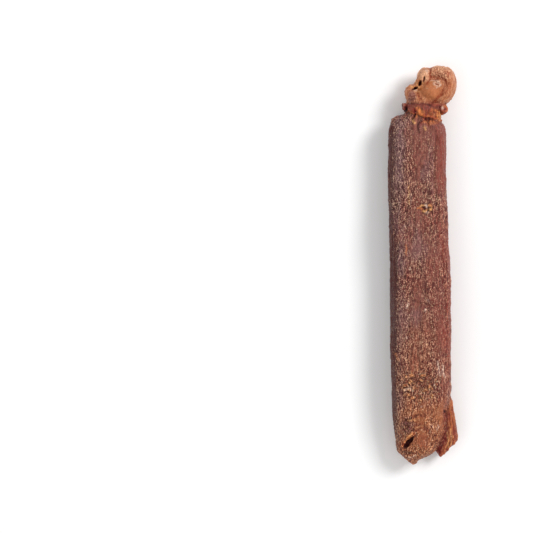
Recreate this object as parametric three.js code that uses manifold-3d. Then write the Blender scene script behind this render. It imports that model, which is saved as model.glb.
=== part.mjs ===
// A pressed, steamed and dried ginseng root, lying on its flat underside.
// Millimetres, +Z up. The long axis is Y, with the knotted head at +Y and the blunt tail at -Y.
// The origin is under the middle of the root, on the surface it lies on.
//
// The root grew in one piece, so it is one mesh: a long skin for the body, a neck with two
// bark collars, a head of four lobes, and one cut side root, joined into a single solid.

import * as THREE from "three";
import { mergeVertices } from "three/addons/utils/BufferGeometryUtils.js";
import Module from "manifold-3d";

const wasm = await Module();
wasm.setup();

// Driving dimensions.
const LENGTH = 115; // head to tail
const WIDTH = 20.7; // left flank to the side root's outer edge
const THICKNESS = 13.6; // underside to the highest point of the back

// Fineness of the surfaces.
const BODY_COLUMNS = 44;
const BODY_ROW_SPACING = 2.8;
const LOBE_COLUMNS = 20;
const LOBE_ROWS = 12;
const CURL_ROWS = 18;

// Shrinkage furrows that run along the body, winding slightly round it as they go.
const FURROWS_AROUND = 7;
const FURROW_DEPTH = 0.2; // crest to middle, mm
const FURROW_WINDING = 2.4; // radians from tail to neck

// Cross-sections of the body from tail to neck: along is a share of LENGTH from the tail, left and
// right are shares of WIDTH from the middle, under and over are shares of THICKNESS, and square
// says how boxy the pressed section is (2 is an ellipse).
const BODY_SECTIONS = [
  { along: 0.0, left: -0.156, right: -0.156, under: 0.42, over: 0.42, square: 2.0 },
  { along: 0.009, left: -0.226, right: -0.08, under: 0.26, over: 0.56, square: 2.0 },
  { along: 0.02, left: -0.285, right: 0.08, under: 0.17, over: 0.66, square: 2.1 },
  { along: 0.033, left: -0.345, right: 0.165, under: 0.11, over: 0.74, square: 2.2 },
  { along: 0.048, left: -0.39, right: 0.222, under: 0.07, over: 0.8, square: 2.3 },
  { along: 0.07, left: -0.42, right: 0.275, under: 0.03, over: 0.87, square: 2.4 },
  { along: 0.1, left: -0.44, right: 0.305, under: 0.0, over: 0.93, square: 2.5 },
  { along: 0.131, left: -0.449, right: 0.33, under: -0.015, over: 0.96, square: 2.6 },
  { along: 0.161, left: -0.453, right: 0.385, under: -0.02, over: 0.98, square: 2.7 },
  { along: 0.211, left: -0.46, right: 0.397, under: -0.025, over: 0.99, square: 2.8 },
  { along: 0.324, left: -0.471, right: 0.386, under: -0.025, over: 0.98, square: 2.9 },
  { along: 0.45, left: -0.475, right: 0.382, under: -0.025, over: 1.0, square: 2.9 },
  { along: 0.563, left: -0.482, right: 0.357, under: -0.025, over: 0.99, square: 2.9 },
  { along: 0.664, left: -0.499, right: 0.328, under: -0.025, over: 0.985, square: 2.9 },
  { along: 0.79, left: -0.5, right: 0.316, under: -0.02, over: 0.97, square: 2.9 },
  { along: 0.835, left: -0.496, right: 0.31, under: 0.0, over: 0.94, square: 2.8 },
  { along: 0.85, left: -0.49, right: 0.292, under: 0.03, over: 0.915, square: 2.7 },
  { along: 0.862, left: -0.475, right: 0.245, under: 0.07, over: 0.88, square: 2.6 },
  { along: 0.871, left: -0.44, right: 0.215, under: 0.11, over: 0.84, square: 2.5 },
  { along: 0.878, left: -0.35, right: 0.2, under: 0.16, over: 0.79, square: 2.4 },
  { along: 0.884, left: -0.2, right: 0.17, under: 0.24, over: 0.7, square: 2.2 },
  { along: 0.888, left: -0.02, right: -0.02, under: 0.48, over: 0.48, square: 2.0 },
];

// The neck: a stub of twisted rhizome from inside the shoulders to inside the head.
const NECK = {
  path: [
    { along: 0.845, across: -0.02, up: 0.47 },
    { along: 0.88, across: -0.005, up: 0.49 },
    { along: 0.925, across: 0.025, up: 0.51 },
  ],
  halfWidth: [6.0, 5.5, 5.3],
  halfDepth: [4.7, 4.5, 4.4],
};

// Flattened rings of old bark round the neck. turn is the slant in degrees about the vertical.
const COLLARS = [
  { along: 0.874, across: 0.005, up: 0.48, radii: [5.9, 1.0, 5.0], turn: -13 },
  { along: 0.902, across: 0.02, up: 0.5, radii: [5.75, 0.75, 4.9], turn: -3 },
];

// Loose bark scales that stand out of the neck at either side.
const SCALES = [
  { along: 0.903, across: -0.262, up: 0.5, radii: [0.95, 1.7, 2.6], turn: 24 },
  { along: 0.89, across: 0.292, up: 0.52, radii: [1.15, 1.9, 2.3], turn: -32 },
];

// The lobes of the head, apart from the curled one.
const HEAD_LOBES = [
  { along: 0.931, across: -0.16, up: 0.5, radii: [2.35, 2.9, 3.9], turn: 10 }, // lower left
  { along: 0.974, across: 0.0, up: 0.52, radii: [2.3, 2.85, 3.6], turn: -24 }, // upper left
  { along: 0.935, across: 0.0, up: 0.49, radii: [4.0, 3.7, 4.5], turn: 0 }, // heart of the head
  { along: 0.939, across: 0.115, up: 0.53, radii: [4.0, 3.9, 4.9], turn: 0 }, // middle, in front
  { along: 0.966, across: 0.16, up: 0.42, radii: [4.0, 3.2, 3.6], turn: 0 }, // behind the curl
];

// The curled lobe: a thick stalk that rises on the right and rolls over the top to the left.
const CURL = {
  path: [
    { along: 0.895, across: 0.17, up: 0.5 },
    { along: 0.916, across: 0.29, up: 0.52 },
    { along: 0.942, across: 0.343, up: 0.54 },
    { along: 0.965, across: 0.31, up: 0.54 },
    { along: 0.973, across: 0.2, up: 0.54 },
    { along: 0.971, across: 0.09, up: 0.53 },
  ],
  halfWidth: [2.2, 2.6, 2.95, 3.1, 2.9, 2.0],
  halfDepth: [3.4, 4.0, 4.5, 4.7, 4.4, 3.4],
};

// The side root: a flat strap that leaves the right flank low down and is cut off on a slant.
const SIDE_ROOT = {
  path: [
    { along: 0.2, across: 0.3, up: 0.36 },
    { along: 0.16, across: 0.35, up: 0.35 },
    { along: 0.11, across: 0.352, up: 0.33 },
    { along: 0.06, across: 0.348, up: 0.3 },
    { along: 0.0, across: 0.33, up: 0.27 },
  ],
  halfWidth: [1.2, 1.65, 2.1, 2.85, 3.1],
  halfDepth: [1.8, 2.2, 2.4, 2.5, 2.4],
};
const SIDE_ROOT_CUT = { along: 0.0385, across: 0.37, slant: -41 }; // a point on the cut, and its slant

// A low knob on the tail, where a thicker root was trimmed off.
const TAIL_KNOB = { along: 0.06, across: -0.01, up: 0.7, radii: [3.7, 4.3, 2.6], turn: 12 };

// Splits and pits that shrinking opened: a long one in the tail, three between the lobes of the
// head, and the scar of last year's stem in the middle lobe.
const SPLITS = [
  { along: 0.059, across: -0.195, up: 0.84, radii: [0.65, 2.3, 2.6], turn: -38 },
  { along: 0.963, across: 0.007, up: 0.76, radii: [0.4, 1.0, 1.6], turn: 12 },
  { along: 0.953, across: -0.047, up: 0.73, radii: [0.55, 1.1, 1.6], turn: 30 },
  { along: 0.94, across: -0.111, up: 0.74, radii: [0.45, 1.2, 1.6], turn: -62 },
  { along: 0.953, across: 0.172, up: 0.86, radii: [0.8, 0.6, 0.7], turn: 0 },
];

const CUTTER_SIZE = 60; // side of the blocks that cut the flat faces

/** A point of the root's box: along from the tail, across from the middle, up from the surface. */
function place({ along, across, up }) {
  return new THREE.Vector3(across * WIDTH, (along - 0.5) * LENGTH, up * THICKNESS);
}

/** A value read off a list at t from 0 to 1, eased between neighbours. */
function valueAt(list, t) {
  const at = t * (list.length - 1);
  const low = Math.min(Math.floor(at), list.length - 2);
  return THREE.MathUtils.lerp(list[low], list[low + 1], THREE.MathUtils.smoothstep(at - low, 0, 1));
}

/** A closed geometry as a solid, with its shared corners merged. */
function solidOf(geometry) {
  geometry.deleteAttribute("normal");
  geometry.deleteAttribute("uv");
  const merged = mergeVertices(geometry, 1e-4);
  const mesh = new wasm.Mesh({
    numProp: 3,
    vertProperties: new Float32Array(merged.attributes.position.array),
    triVerts: new Uint32Array(merged.index.array),
  });
  return new wasm.Manifold(mesh);
}

/**
 * A closed skin over rows of sections. SphereGeometry gives the rows, the columns and the two
 * poles; pointAt(row, x, z) says where the point in direction x, z of that row goes.
 */
function skin(rows, columns, pointAt) {
  const geometry = new THREE.SphereGeometry(1, columns, rows - 1);
  const position = geometry.attributes.position;
  for (let i = 0; i < position.count; i += 1) {
    const row = Math.floor(i / (columns + 1));
    const angle = ((i % (columns + 1)) / columns) * 2 * Math.PI;
    const point = pointAt(row, -Math.cos(angle), Math.sin(angle));
    position.setXYZ(i, point.x, point.y, point.z);
  }
  return solidOf(geometry);
}

/** How far the skin stands out at a place round the body; the pressed underside stays plain. */
function furrowHeight(along, x, z) {
  const angle = Math.atan2(z, x);
  const wave = Math.cos(FURROWS_AROUND * angle + FURROW_WINDING * along);
  return FURROW_DEPTH * (wave - 1) * THREE.MathUtils.smoothstep(z, -0.8, 0);
}

/** The body: smooth curves run through the sections, and rows are laid along them. */
function bodySolid() {
  const keys = ["along", "left", "right", "under", "over", "square"];
  const sections = [...BODY_SECTIONS].reverse(); // the first row is the pole at +Y
  const curves = {};
  for (const key of keys) {
    const points = sections.map((s, i) => new THREE.Vector2(i, s[key]));
    curves[key] = new THREE.SplineCurve(points);
  }
  const spans = sections.length - 1;
  const stops = [];
  for (let i = 0; i < spans; i += 1) {
    const run = (sections[i].along - sections[i + 1].along) * LENGTH;
    const steps = Math.max(1, Math.round(run / BODY_ROW_SPACING));
    for (let k = 0; k < steps; k += 1) stops.push((i + k / steps) / spans);
  }
  stops.push(1);

  return skin(stops.length, BODY_COLUMNS, (row, x, z) => {
    const at = {};
    for (const key of keys) at[key] = curves[key].getPoint(stops[row]).y;
    const halfWidth = Math.max(((at.right - at.left) / 2) * WIDTH, 0);
    const halfDepth = Math.max(((at.over - at.under) / 2) * THICKNESS, 0);
    const centre = place({
      along: at.along,
      across: (at.left + at.right) / 2,
      up: (at.under + at.over) / 2,
    });
    if (halfWidth < 1e-3 || halfDepth < 1e-3) return centre;
    const wide = Math.abs(x / halfWidth) ** at.square;
    const deep = Math.abs(z / halfDepth) ** at.square;
    const smooth = (wide + deep) ** (-1 / at.square);
    const radius = smooth + furrowHeight(at.along, x, z) * Math.min(smooth / halfDepth, 1);
    return new THREE.Vector3(centre.x + radius * x, centre.y, centre.z + radius * z);
  });
}

/** A tapering limb along a curve, rounded off at both ends, with its own width and depth. */
function limbSolid({ path, halfWidth, halfDepth }, rows = LOBE_ROWS, columns = LOBE_COLUMNS) {
  const curve = new THREE.CatmullRomCurve3(path.map(place));
  const up = new THREE.Vector3(0, 0, 1);
  return skin(rows, columns, (row, x, z) => {
    const turn = (row / (rows - 1)) * Math.PI;
    const t = (1 - Math.cos(turn)) / 2;
    const roundOff = Math.sin(turn) ** 0.5;
    const tangent = curve.getTangentAt(t);
    const side = new THREE.Vector3().crossVectors(up, tangent).normalize();
    const over = new THREE.Vector3().crossVectors(tangent, side);
    return curve
      .getPointAt(t)
      .addScaledVector(side, x * roundOff * valueAt(halfWidth, t))
      .addScaledVector(over, z * roundOff * valueAt(halfDepth, t));
  });
}

/** An egg-shaped lobe, turned about the vertical by turn degrees. */
function lobeSolid({ along, across, up, radii, turn }) {
  const geometry = new THREE.SphereGeometry(1, LOBE_COLUMNS, LOBE_ROWS);
  geometry.scale(...radii);
  geometry.rotateZ(THREE.MathUtils.degToRad(turn));
  const centre = place({ along, across, up });
  geometry.translate(centre.x, centre.y, centre.z);
  return solidOf(geometry);
}

/** A large block whose top face passes through a point and is turned about the vertical. */
function blockBelow(point, turn) {
  const geometry = new THREE.BoxGeometry(CUTTER_SIZE, CUTTER_SIZE, CUTTER_SIZE);
  geometry.translate(0, -CUTTER_SIZE / 2, 0);
  geometry.rotateZ(THREE.MathUtils.degToRad(turn));
  geometry.translate(point.x, point.y, point.z);
  return solidOf(geometry);
}

/** The side root with its end cut off on the slant. */
function sideRootSolid() {
  const cut = place({ ...SIDE_ROOT_CUT, up: 0 });
  return limbSolid(SIDE_ROOT).subtract(blockBelow(cut, -SIDE_ROOT_CUT.slant));
}

/** The ground block: what it takes away leaves the flat underside the root lies on. */
function groundSolid() {
  const geometry = new THREE.BoxGeometry(CUTTER_SIZE, 3 * CUTTER_SIZE, CUTTER_SIZE);
  geometry.translate(0, 0, -CUTTER_SIZE / 2);
  return solidOf(geometry);
}

/** The whole root as one solid. */
function rootSolid() {
  let root = bodySolid();
  root = root.add(limbSolid(NECK));
  for (const lump of [...COLLARS, ...SCALES, ...HEAD_LOBES, TAIL_KNOB]) {
    root = root.add(lobeSolid(lump));
  }
  root = root.add(limbSolid(CURL, CURL_ROWS));
  root = root.add(sideRootSolid());
  for (const split of SPLITS) root = root.subtract(lobeSolid(split));
  return root.subtract(groundSolid());
}

/** The solid as a three.js geometry, moved so that its box stands centred over the origin. */
function geometryOf(solid) {
  const mesh = solid.getMesh();
  const geometry = new THREE.BufferGeometry();
  const position = new Float32Array(mesh.numVert * 3);
  for (let i = 0; i < mesh.numVert; i += 1) {
    position.set(mesh.vertProperties.subarray(i * mesh.numProp, i * mesh.numProp + 3), i * 3);
  }
  geometry.setAttribute("position", new THREE.BufferAttribute(position, 3));
  geometry.setIndex(new THREE.BufferAttribute(new Uint32Array(mesh.triVerts), 1));
  geometry.computeBoundingBox();
  const middle = geometry.boundingBox.getCenter(new THREE.Vector3());
  geometry.translate(-middle.x, -middle.y, -geometry.boundingBox.min.z);
  geometry.computeVertexNormals();
  return geometry;
}

const skinMaterial = new THREE.MeshStandardMaterial({
  color: new THREE.Color(0.5, 0.3, 0.25),
  roughness: 0.55,
  metalness: 0,
});

const root = new THREE.Mesh(geometryOf(rootSolid()), skinMaterial);
root.name = "ginseng_root";

const group = new THREE.Group();
group.add(root);

export default group;
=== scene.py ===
"""The looks of one pressed, steamed and dried ginseng root, made round its solid model.

The root is one closed skin. Its parts (body, neck, head, side root, tail) are surfaces of two
parameters, worked out with numpy in millimetres and placed as shares of the solid model's box.
They are joined into one mesh, softened where they grew together, and then given their furrows,
wrinkles, cracks and flakes by moving the skin along its normals. The same fields colour it.

Shares: along runs from the tail (0) to the head (1), across from the middle (-0.5 is the left
flank, 0.5 the right), and up from the surface the root lies on (0) to the top of its back (1).
"""

import logging
import math
from dataclasses import dataclass, field
from enum import Enum

import bpy
import numpy as np
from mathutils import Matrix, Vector


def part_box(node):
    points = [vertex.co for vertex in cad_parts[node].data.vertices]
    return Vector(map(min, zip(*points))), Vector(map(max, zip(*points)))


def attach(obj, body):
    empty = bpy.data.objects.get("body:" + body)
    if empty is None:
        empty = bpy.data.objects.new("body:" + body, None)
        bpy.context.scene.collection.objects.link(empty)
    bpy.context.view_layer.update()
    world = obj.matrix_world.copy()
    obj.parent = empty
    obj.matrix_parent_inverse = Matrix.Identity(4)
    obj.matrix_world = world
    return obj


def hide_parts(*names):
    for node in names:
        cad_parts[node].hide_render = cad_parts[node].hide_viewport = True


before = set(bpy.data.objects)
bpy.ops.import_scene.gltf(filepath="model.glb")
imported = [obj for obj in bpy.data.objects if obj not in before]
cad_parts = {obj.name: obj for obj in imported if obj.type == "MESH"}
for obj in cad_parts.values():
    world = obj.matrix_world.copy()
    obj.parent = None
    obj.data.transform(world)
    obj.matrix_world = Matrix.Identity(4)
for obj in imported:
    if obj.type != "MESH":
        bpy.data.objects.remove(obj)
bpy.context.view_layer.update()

NODE = "ginseng_root"
BODY_NAME = "root"
MM = 0.001  # metres in a millimetre

log = logging.getLogger("ginseng_root")


# ---------------------------------------------------------------------------------------------
# Numbers and curves


def smooth_step(value: np.ndarray, low: float, high: float) -> np.ndarray:
    """Eases from 0 at low to 1 at high, with level ends.

    Args:
        value: The numbers to ease.
        low: Where the result is 0.
        high: Where the result is 1. It may be below low, for a falling step.

    Returns:
        3t^2 - 2t^3, with t the clamped share of the way from low to high.
    """
    t = np.clip((value - low) / (high - low), 0.0, 1.0)
    return t * t * (3.0 - 2.0 * t)


def bell(distance: np.ndarray, width: float) -> np.ndarray:
    """A round hump: e to the minus (distance / width) squared."""
    return np.exp(-((distance / width) ** 2))


@dataclass(frozen=True)
class Stations:
    """A smooth curve through a few (place, value) stations that never overshoots them."""

    points: tuple[tuple[float, float], ...]

    def at(self, place: np.ndarray) -> np.ndarray:
        """Reads the curve.

        Args:
            place: Where to read it.

        Returns:
            A cubic between each pair of stations, whose slope at a station is the harmonic
            mean of its neighbours' slopes, or level where those differ in sign.
        """
        x, y = np.array(self.points, float).T
        gap = np.diff(x)
        slope = np.diff(y) / gap
        before, after = slope[:-1], slope[1:]
        same = before * after > 0
        mean = np.zeros_like(before)
        mean[same] = 2.0 * before[same] * after[same] / (before[same] + after[same])
        tangent = np.concatenate([slope[:1], mean, slope[-1:]])
        k = np.clip(np.searchsorted(x, place, side="right") - 1, 0, len(gap) - 1)
        t = np.clip((place - x[k]) / gap[k], 0.0, 1.0)
        t2, t3 = t * t, t * t * t
        return (
            (2 * t3 - 3 * t2 + 1) * y[k]
            + (t3 - 2 * t2 + t) * gap[k] * tangent[k]
            + (3 * t2 - 2 * t3) * y[k + 1]
            + (t3 - t2) * gap[k] * tangent[k + 1]
        )


@dataclass(frozen=True)
class Noise:
    """Seeded noise in space. Points are (n, 3) arrays, in cells of the noise's lattice."""

    seed: int
    entries: int = 1024

    def _table(self, columns: int) -> np.ndarray:
        """Random numbers from -1 to 1, in as many columns as asked for."""
        return np.random.default_rng(self.seed).uniform(-1.0, 1.0, (self.entries, columns))

    def _row(self, cell: np.ndarray) -> np.ndarray:
        """Scrambles lattice cells into rows of the table.

        Args:
            cell: (n, 3) whole numbers.

        Returns:
            A row for each cell, the same one each time.
        """
        mixed = cell[:, 0] * 73856093 ^ cell[:, 1] * 19349663 ^ cell[:, 2] * 83492791
        mixed = (mixed ^ (mixed >> 13)) * 1274126177
        return (mixed ^ (mixed >> 16)) & (self.entries - 1)

    def smooth(self, points: np.ndarray) -> np.ndarray:
        """Gradient noise, about -1 to 1, with bumps one cell across.

        Args:
            points: Places in cells.

        Returns:
            At each place, the eight corner gradients' dot products with the way to that corner,
            blended by the quintic 6t^5 - 15t^4 + 10t^3 on each axis.
        """
        gradients = self._table(3)
        cell = np.floor(points).astype(np.int64)
        local = points - cell
        fade = local**3 * (local * (local * 6.0 - 15.0) + 10.0)
        total = np.zeros(len(points))
        for corner in np.ndindex(2, 2, 2):
            step = np.array(corner)
            weight = np.where(step, fade, 1.0 - fade).prod(1)
            total += weight * (gradients[self._row(cell + step)] * (local - step)).sum(1)
        return 1.5 * total

    def layered(self, points: np.ndarray, layers: int = 3) -> np.ndarray:
        """Smooth noise with finer copies added.

        Args:
            points: Places in cells of the coarsest copy.
            layers: How many copies there are.

        Returns:
            The sum of the copies, each half the size and half the height of the one before.
        """
        total = np.zeros(len(points))
        for layer in range(layers):
            total += self.smooth(points * 2.0**layer + 17.3 * layer) / 2.0**layer
        return total

    def ridged(self, points: np.ndarray, layers: int = 2) -> np.ndarray:
        """Noise with sharp crests.

        Args:
            points: Places in cells of the coarsest layer.
            layers: How many layers there are.

        Returns:
            The mean of (1 - |smooth noise|) squared over the layers, 0 to 1. Each layer is half
            the size of the one before and counts half as much.
        """
        total = np.zeros(len(points))
        scale = sum(0.5**layer for layer in range(layers))
        for layer in range(layers):
            crest = 1.0 - np.abs(self.smooth(points * 2.0**layer + 31.7 * layer))
            total += crest**2 / 2.0**layer
        return np.clip(total / scale, 0.0, 1.0)

    def cells(self, points: np.ndarray) -> tuple[np.ndarray, np.ndarray, np.ndarray]:
        """Distances to scattered points, one in each cell.

        Args:
            points: Places in cells.

        Returns:
            The distance to the nearest scattered point, the distance to the next nearest, and
            the nearest one's own random number from 0 to 1.
        """
        table = self._table(4) * 0.5 + 0.5
        cell = np.floor(points).astype(np.int64)
        nearest = np.full(len(points), 9.0)
        second = np.full(len(points), 9.0)
        own = np.zeros(len(points))
        for offset in np.ndindex(3, 3, 3):
            there = cell + np.array(offset) - 1
            entry = table[self._row(there)]
            distance = np.linalg.norm(there + entry[:, :3] - points, axis=1)
            closer = distance < nearest
            second = np.where(closer, nearest, np.minimum(second, distance))
            own = np.where(closer, entry[:, 3], own)
            nearest = np.minimum(nearest, distance)
        return nearest, second, own


# ---------------------------------------------------------------------------------------------
# The frame's box, and meshes as arrays


@dataclass(frozen=True)
class RootBox:
    """The solid model's box in millimetres, with places in it stated as shares."""

    low: np.ndarray
    high: np.ndarray

    @classmethod
    def of_node(cls, node: str) -> "RootBox":
        """The box of a node of the solid model."""
        low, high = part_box(node)
        return cls(np.array(low) / MM, np.array(high) / MM)

    @property
    def size(self) -> np.ndarray:
        """Width, length and thickness."""
        return self.high - self.low

    def place(self, along: np.ndarray, across: np.ndarray, up: np.ndarray) -> np.ndarray:
        """The point, or array of points, at these shares of the box."""
        shares = np.stack(np.broadcast_arrays(np.add(across, 0.5), along, up), -1)
        return self.low + shares * self.size

    def shares(self, points: np.ndarray) -> tuple[np.ndarray, np.ndarray, np.ndarray]:
        """The along, across and up of each point."""
        across, along, up = ((points - self.low) / self.size).T
        return along, across - 0.5, up


@dataclass
class Shell:
    """A closed mesh as arrays: points, and faces of three or four corners."""

    points: np.ndarray
    faces: list[list[int]]

    @classmethod
    def over_grid(cls, grid: np.ndarray) -> "Shell":
        """Closes a grid of points into a skin.

        Args:
            grid: (rows, columns, 3) points. The columns run all the way round. The first row
                and the last are each one point, repeated.

        Returns:
            Quads between the rows, and a fan of triangles to the point at each end.
        """
        rows, columns = grid.shape[:2]
        inner = grid[1:-1].reshape(-1, 3)
        points = np.concatenate([grid[:1, 0], inner, grid[-1:, 0]])
        index = 1 + np.arange((rows - 2) * columns).reshape(rows - 2, columns)
        here, there = index, np.roll(index, -1, axis=1)
        quads = np.stack([here[:-1], there[:-1], there[1:], here[1:]], -1).reshape(-1, 4)
        first = np.stack([np.zeros(columns, int), there[0], here[0]], -1)
        last = np.stack([np.full(columns, len(points) - 1), here[-1], there[-1]], -1)
        shell = cls(points, quads.tolist() + first.tolist() + last.tolist())
        return shell.facing_out()

    def facing_out(self) -> "Shell":
        """Makes the faces point outwards.

        Returns:
            The same shell, with its faces turned over if its volume came out negative.
        """
        fans = [(f[0], f[k], f[k + 1]) for f in self.faces for k in range(1, len(f) - 1)]
        a, b, c = self.points[np.array(fans).T]
        volume = np.einsum("ij,ij->", a, np.cross(b, c))
        return self if volume > 0 else Shell(self.points, [f[::-1] for f in self.faces])

    @classmethod
    def together(cls, shells: "list[Shell]") -> "Shell":
        """Puts several shells into one.

        Args:
            shells: The shells, which may cross each other.

        Returns:
            All their points in a row, and all their faces, renumbered to match.
        """
        faces: list[list[int]] = []
        start = 0
        for shell in shells:
            faces += [[start + corner for corner in face] for face in shell.faces]
            start += len(shell.points)
        return cls(np.concatenate([shell.points for shell in shells]), faces)

    def to_object(self, name: str) -> bpy.types.Object:
        """The shell as a Blender object, in metres.

        Args:
            name: The object's name.

        Returns:
            The object, at the origin, linked to the scene.
        """
        mesh = bpy.data.meshes.new(name)
        mesh.from_pydata((self.points * MM).tolist(), [], self.faces)
        made = bpy.data.objects.new(name, mesh)
        bpy.context.scene.collection.objects.link(made)
        return made


def round_angles(columns: int) -> np.ndarray:
    """Evenly spaced angles once round a circle, as one row."""
    return np.linspace(0.0, 2.0 * math.pi, columns, endpoint=False)[None, :]


def ball(rows: int, columns: int) -> np.ndarray:
    """A unit sphere as a grid: row k is the circle at latitude k, from pole to pole on Y.

    Args:
        rows: Circles, with both poles.
        columns: Points on each circle.

    Returns:
        (rows, columns, 3) points (sin a cos b, cos a, sin a sin b).
    """
    a = np.linspace(0.0, math.pi, rows)[:, None]
    b = round_angles(columns)
    return np.stack(
        [np.sin(a) * np.cos(b), np.cos(a) * np.ones_like(b), np.sin(a) * np.sin(b)], -1
    )


def turned(points: np.ndarray, axis: int, degrees: float) -> np.ndarray:
    """Turns points about an axis through the origin.

    Args:
        points: (..., 3) points.
        axis: X (0), Y (1) or Z (2).
        degrees: How far, by the right-hand rule.

    Returns:
        The turned points: on the other two axes, (c p - s q, s p + c q).
    """
    c, s = math.cos(math.radians(degrees)), math.sin(math.radians(degrees))
    one, two = (axis + 1) % 3, (axis + 2) % 3
    out = points.copy()
    out[..., one] = c * points[..., one] - s * points[..., two]
    out[..., two] = s * points[..., one] + c * points[..., two]
    return out


# ---------------------------------------------------------------------------------------------
# The root's parts


@dataclass(frozen=True)
class Body:
    """The long pressed body: one outline each for the left, right, underside and back."""

    rows: int = 420
    columns: int = 160
    left: Stations = Stations(
        (
            (0.0, -0.145), (0.006, -0.185), (0.014, -0.235), (0.02, -0.265), (0.029, -0.325),
            (0.037, -0.362), (0.05, -0.372), (0.066, -0.382), (0.098, -0.41), (0.134, -0.432),
            (0.198, -0.452), (0.34, -0.459), (0.45, -0.459), (0.57, -0.472), (0.66, -0.48),
            (0.765, -0.486), (0.81, -0.493), (0.83, -0.493), (0.844, -0.479), (0.856, -0.453),
            (0.8645, -0.412), (0.87, -0.36), (0.8735, -0.3), (0.877, -0.225), (0.884, -0.03),
        )
    )
    right: Stations = Stations(
        (
            (0.0, -0.145), (0.005, -0.11), (0.013, -0.065), (0.019, 0.035), (0.027, 0.13),
            (0.035, 0.18), (0.049, 0.23), (0.066, 0.285), (0.098, 0.318), (0.134, 0.335),
            (0.163, 0.37), (0.198, 0.395), (0.34, 0.389), (0.45, 0.389), (0.51, 0.376),
            (0.57, 0.36), (0.66, 0.333), (0.765, 0.32), (0.81, 0.326), (0.826, 0.323),
            (0.836, 0.322), (0.848, 0.292), (0.857, 0.24), (0.868, 0.16), (0.884, -0.03),
        )
    )
    under: Stations = Stations(
        (
            (0.0, 0.42), (0.009, 0.27), (0.02, 0.17), (0.048, 0.07), (0.1, 0.0), (0.16, -0.02),
            (0.8, -0.02), (0.84, 0.0), (0.862, 0.08), (0.875, 0.2), (0.884, 0.48),
        )
    )
    over: Stations = Stations(
        (
            (0.0, 0.42), (0.009, 0.56), (0.02, 0.66), (0.033, 0.73), (0.05, 0.79), (0.1, 0.9),
            (0.16, 0.955), (0.32, 0.96), (0.45, 0.985), (0.6, 0.97), (0.8, 0.955), (0.84, 0.92),
            (0.862, 0.85), (0.873, 0.76), (0.88, 0.65), (0.884, 0.48),
        )
    )
    square: Stations = Stations(
        ((0.0, 2.0), (0.05, 2.3), (0.13, 2.6), (0.25, 2.9), (0.8, 2.9), (0.87, 2.4), (0.884, 2.0))
    )

    def section(self, box: RootBox, along: np.ndarray) -> tuple[np.ndarray, ...]:
        """Cuts the body across.

        Args:
            box: The frame's box.
            along: Where to cut it.

        Returns:
            The section's middle X and Z and its half width and half depth, in mm, and its
            squareness.
        """
        left, right = self.left.at(along), self.right.at(along)
        under, over = self.under.at(along), self.over.at(along)
        middle = box.place(along, (left + right) / 2, (under + over) / 2)
        half_width = np.maximum((right - left) / 2 * box.size[0], 1e-4)
        half_depth = np.maximum((over - under) / 2 * box.size[2], 1e-4)
        return middle[..., 0], middle[..., 2], half_width, half_depth, self.square.at(along)

    def shell(self, box: RootBox) -> Shell:
        """The closed skin of the body.

        Args:
            box: The frame's box.

        Returns:
            A stack of superellipses: at angle b, x = half width * |cos b|^(2/n) and
            z = half depth * |sin b|^(2/n), each with its sign, and n the squareness. The rows
            crowd towards both ends as a cosine does.
        """
        ends = self.left.points[0][0], self.left.points[-1][0]
        t = (1.0 - np.cos(np.linspace(0.0, math.pi, self.rows))) / 2.0
        along = (ends[0] + (ends[1] - ends[0]) * t)[:, None]
        b = round_angles(self.columns)
        x, z, half_width, half_depth, square = self.section(box, along)
        c, s = np.cos(b), np.sin(b)
        grid = np.stack(
            [
                x + half_width * np.sign(c) * np.abs(c) ** (2.0 / square),
                box.place(along, 0.0, 0.0)[..., 1] * np.ones_like(b),
                z + half_depth * np.sign(s) * np.abs(s) ** (2.0 / square),
            ],
            -1,
        )
        grid[0], grid[-1] = grid[0].mean(0), grid[-1].mean(0)
        return Shell.over_grid(grid)

    def depth_inside(self, box: RootBox, points: np.ndarray) -> np.ndarray:
        """Finds how deep points lie in the body.

        Args:
            box: The frame's box.
            points: (n, 3) points.

        Returns:
            1 at the middle of the point's section, 0 on its oval, and below 0 outside it.
        """
        along = box.shares(points)[0]
        x, z, half_width, half_depth, _ = self.section(box, along)
        reach = np.hypot((points[:, 0] - x) / half_width, (points[:, 2] - z) / half_depth)
        return 1.0 - reach


@dataclass(frozen=True)
class Lobe:
    """An egg-shaped lump of the head or the tail, with radii in mm and a turn in degrees."""

    along: float
    across: float
    up: float
    radii: tuple[float, float, float]
    turn: float = 0.0
    rows: int = 40
    columns: int = 56

    def shell(self, box: RootBox) -> Shell:
        """A sphere scaled by the radii, turned about the vertical and moved to its place."""
        grid = turned(ball(self.rows, self.columns) * np.array(self.radii), 2, self.turn)
        return Shell.over_grid(grid + box.place(self.along, self.across, self.up))


@dataclass(frozen=True)
class Pit:
    """A steep-sided hollow in the upper side, with half sizes and depth in mm."""

    along: float
    across: float
    half_width: float
    half_length: float
    depth: float
    turn: float = 0.0

    def reach(self, box: RootBox, points: np.ndarray) -> np.ndarray:
        """Finds how far out points lie, seen from above.

        Args:
            box: The frame's box.
            points: (n, 3) points.

        Returns:
            0 at the pit's middle and 1 on its oval edge.
        """
        away = points - box.place(self.along, self.across, 0.0)
        away = turned(away, 2, -self.turn)
        return np.hypot(away[:, 0] / self.half_width, away[:, 1] / self.half_length)

    def drop(self, box: RootBox, points: np.ndarray) -> np.ndarray:
        """How far down each point goes: the depth inside, and nothing past the edge."""
        return self.depth * smooth_step(self.reach(box, points), 1.05, 0.55)


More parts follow.
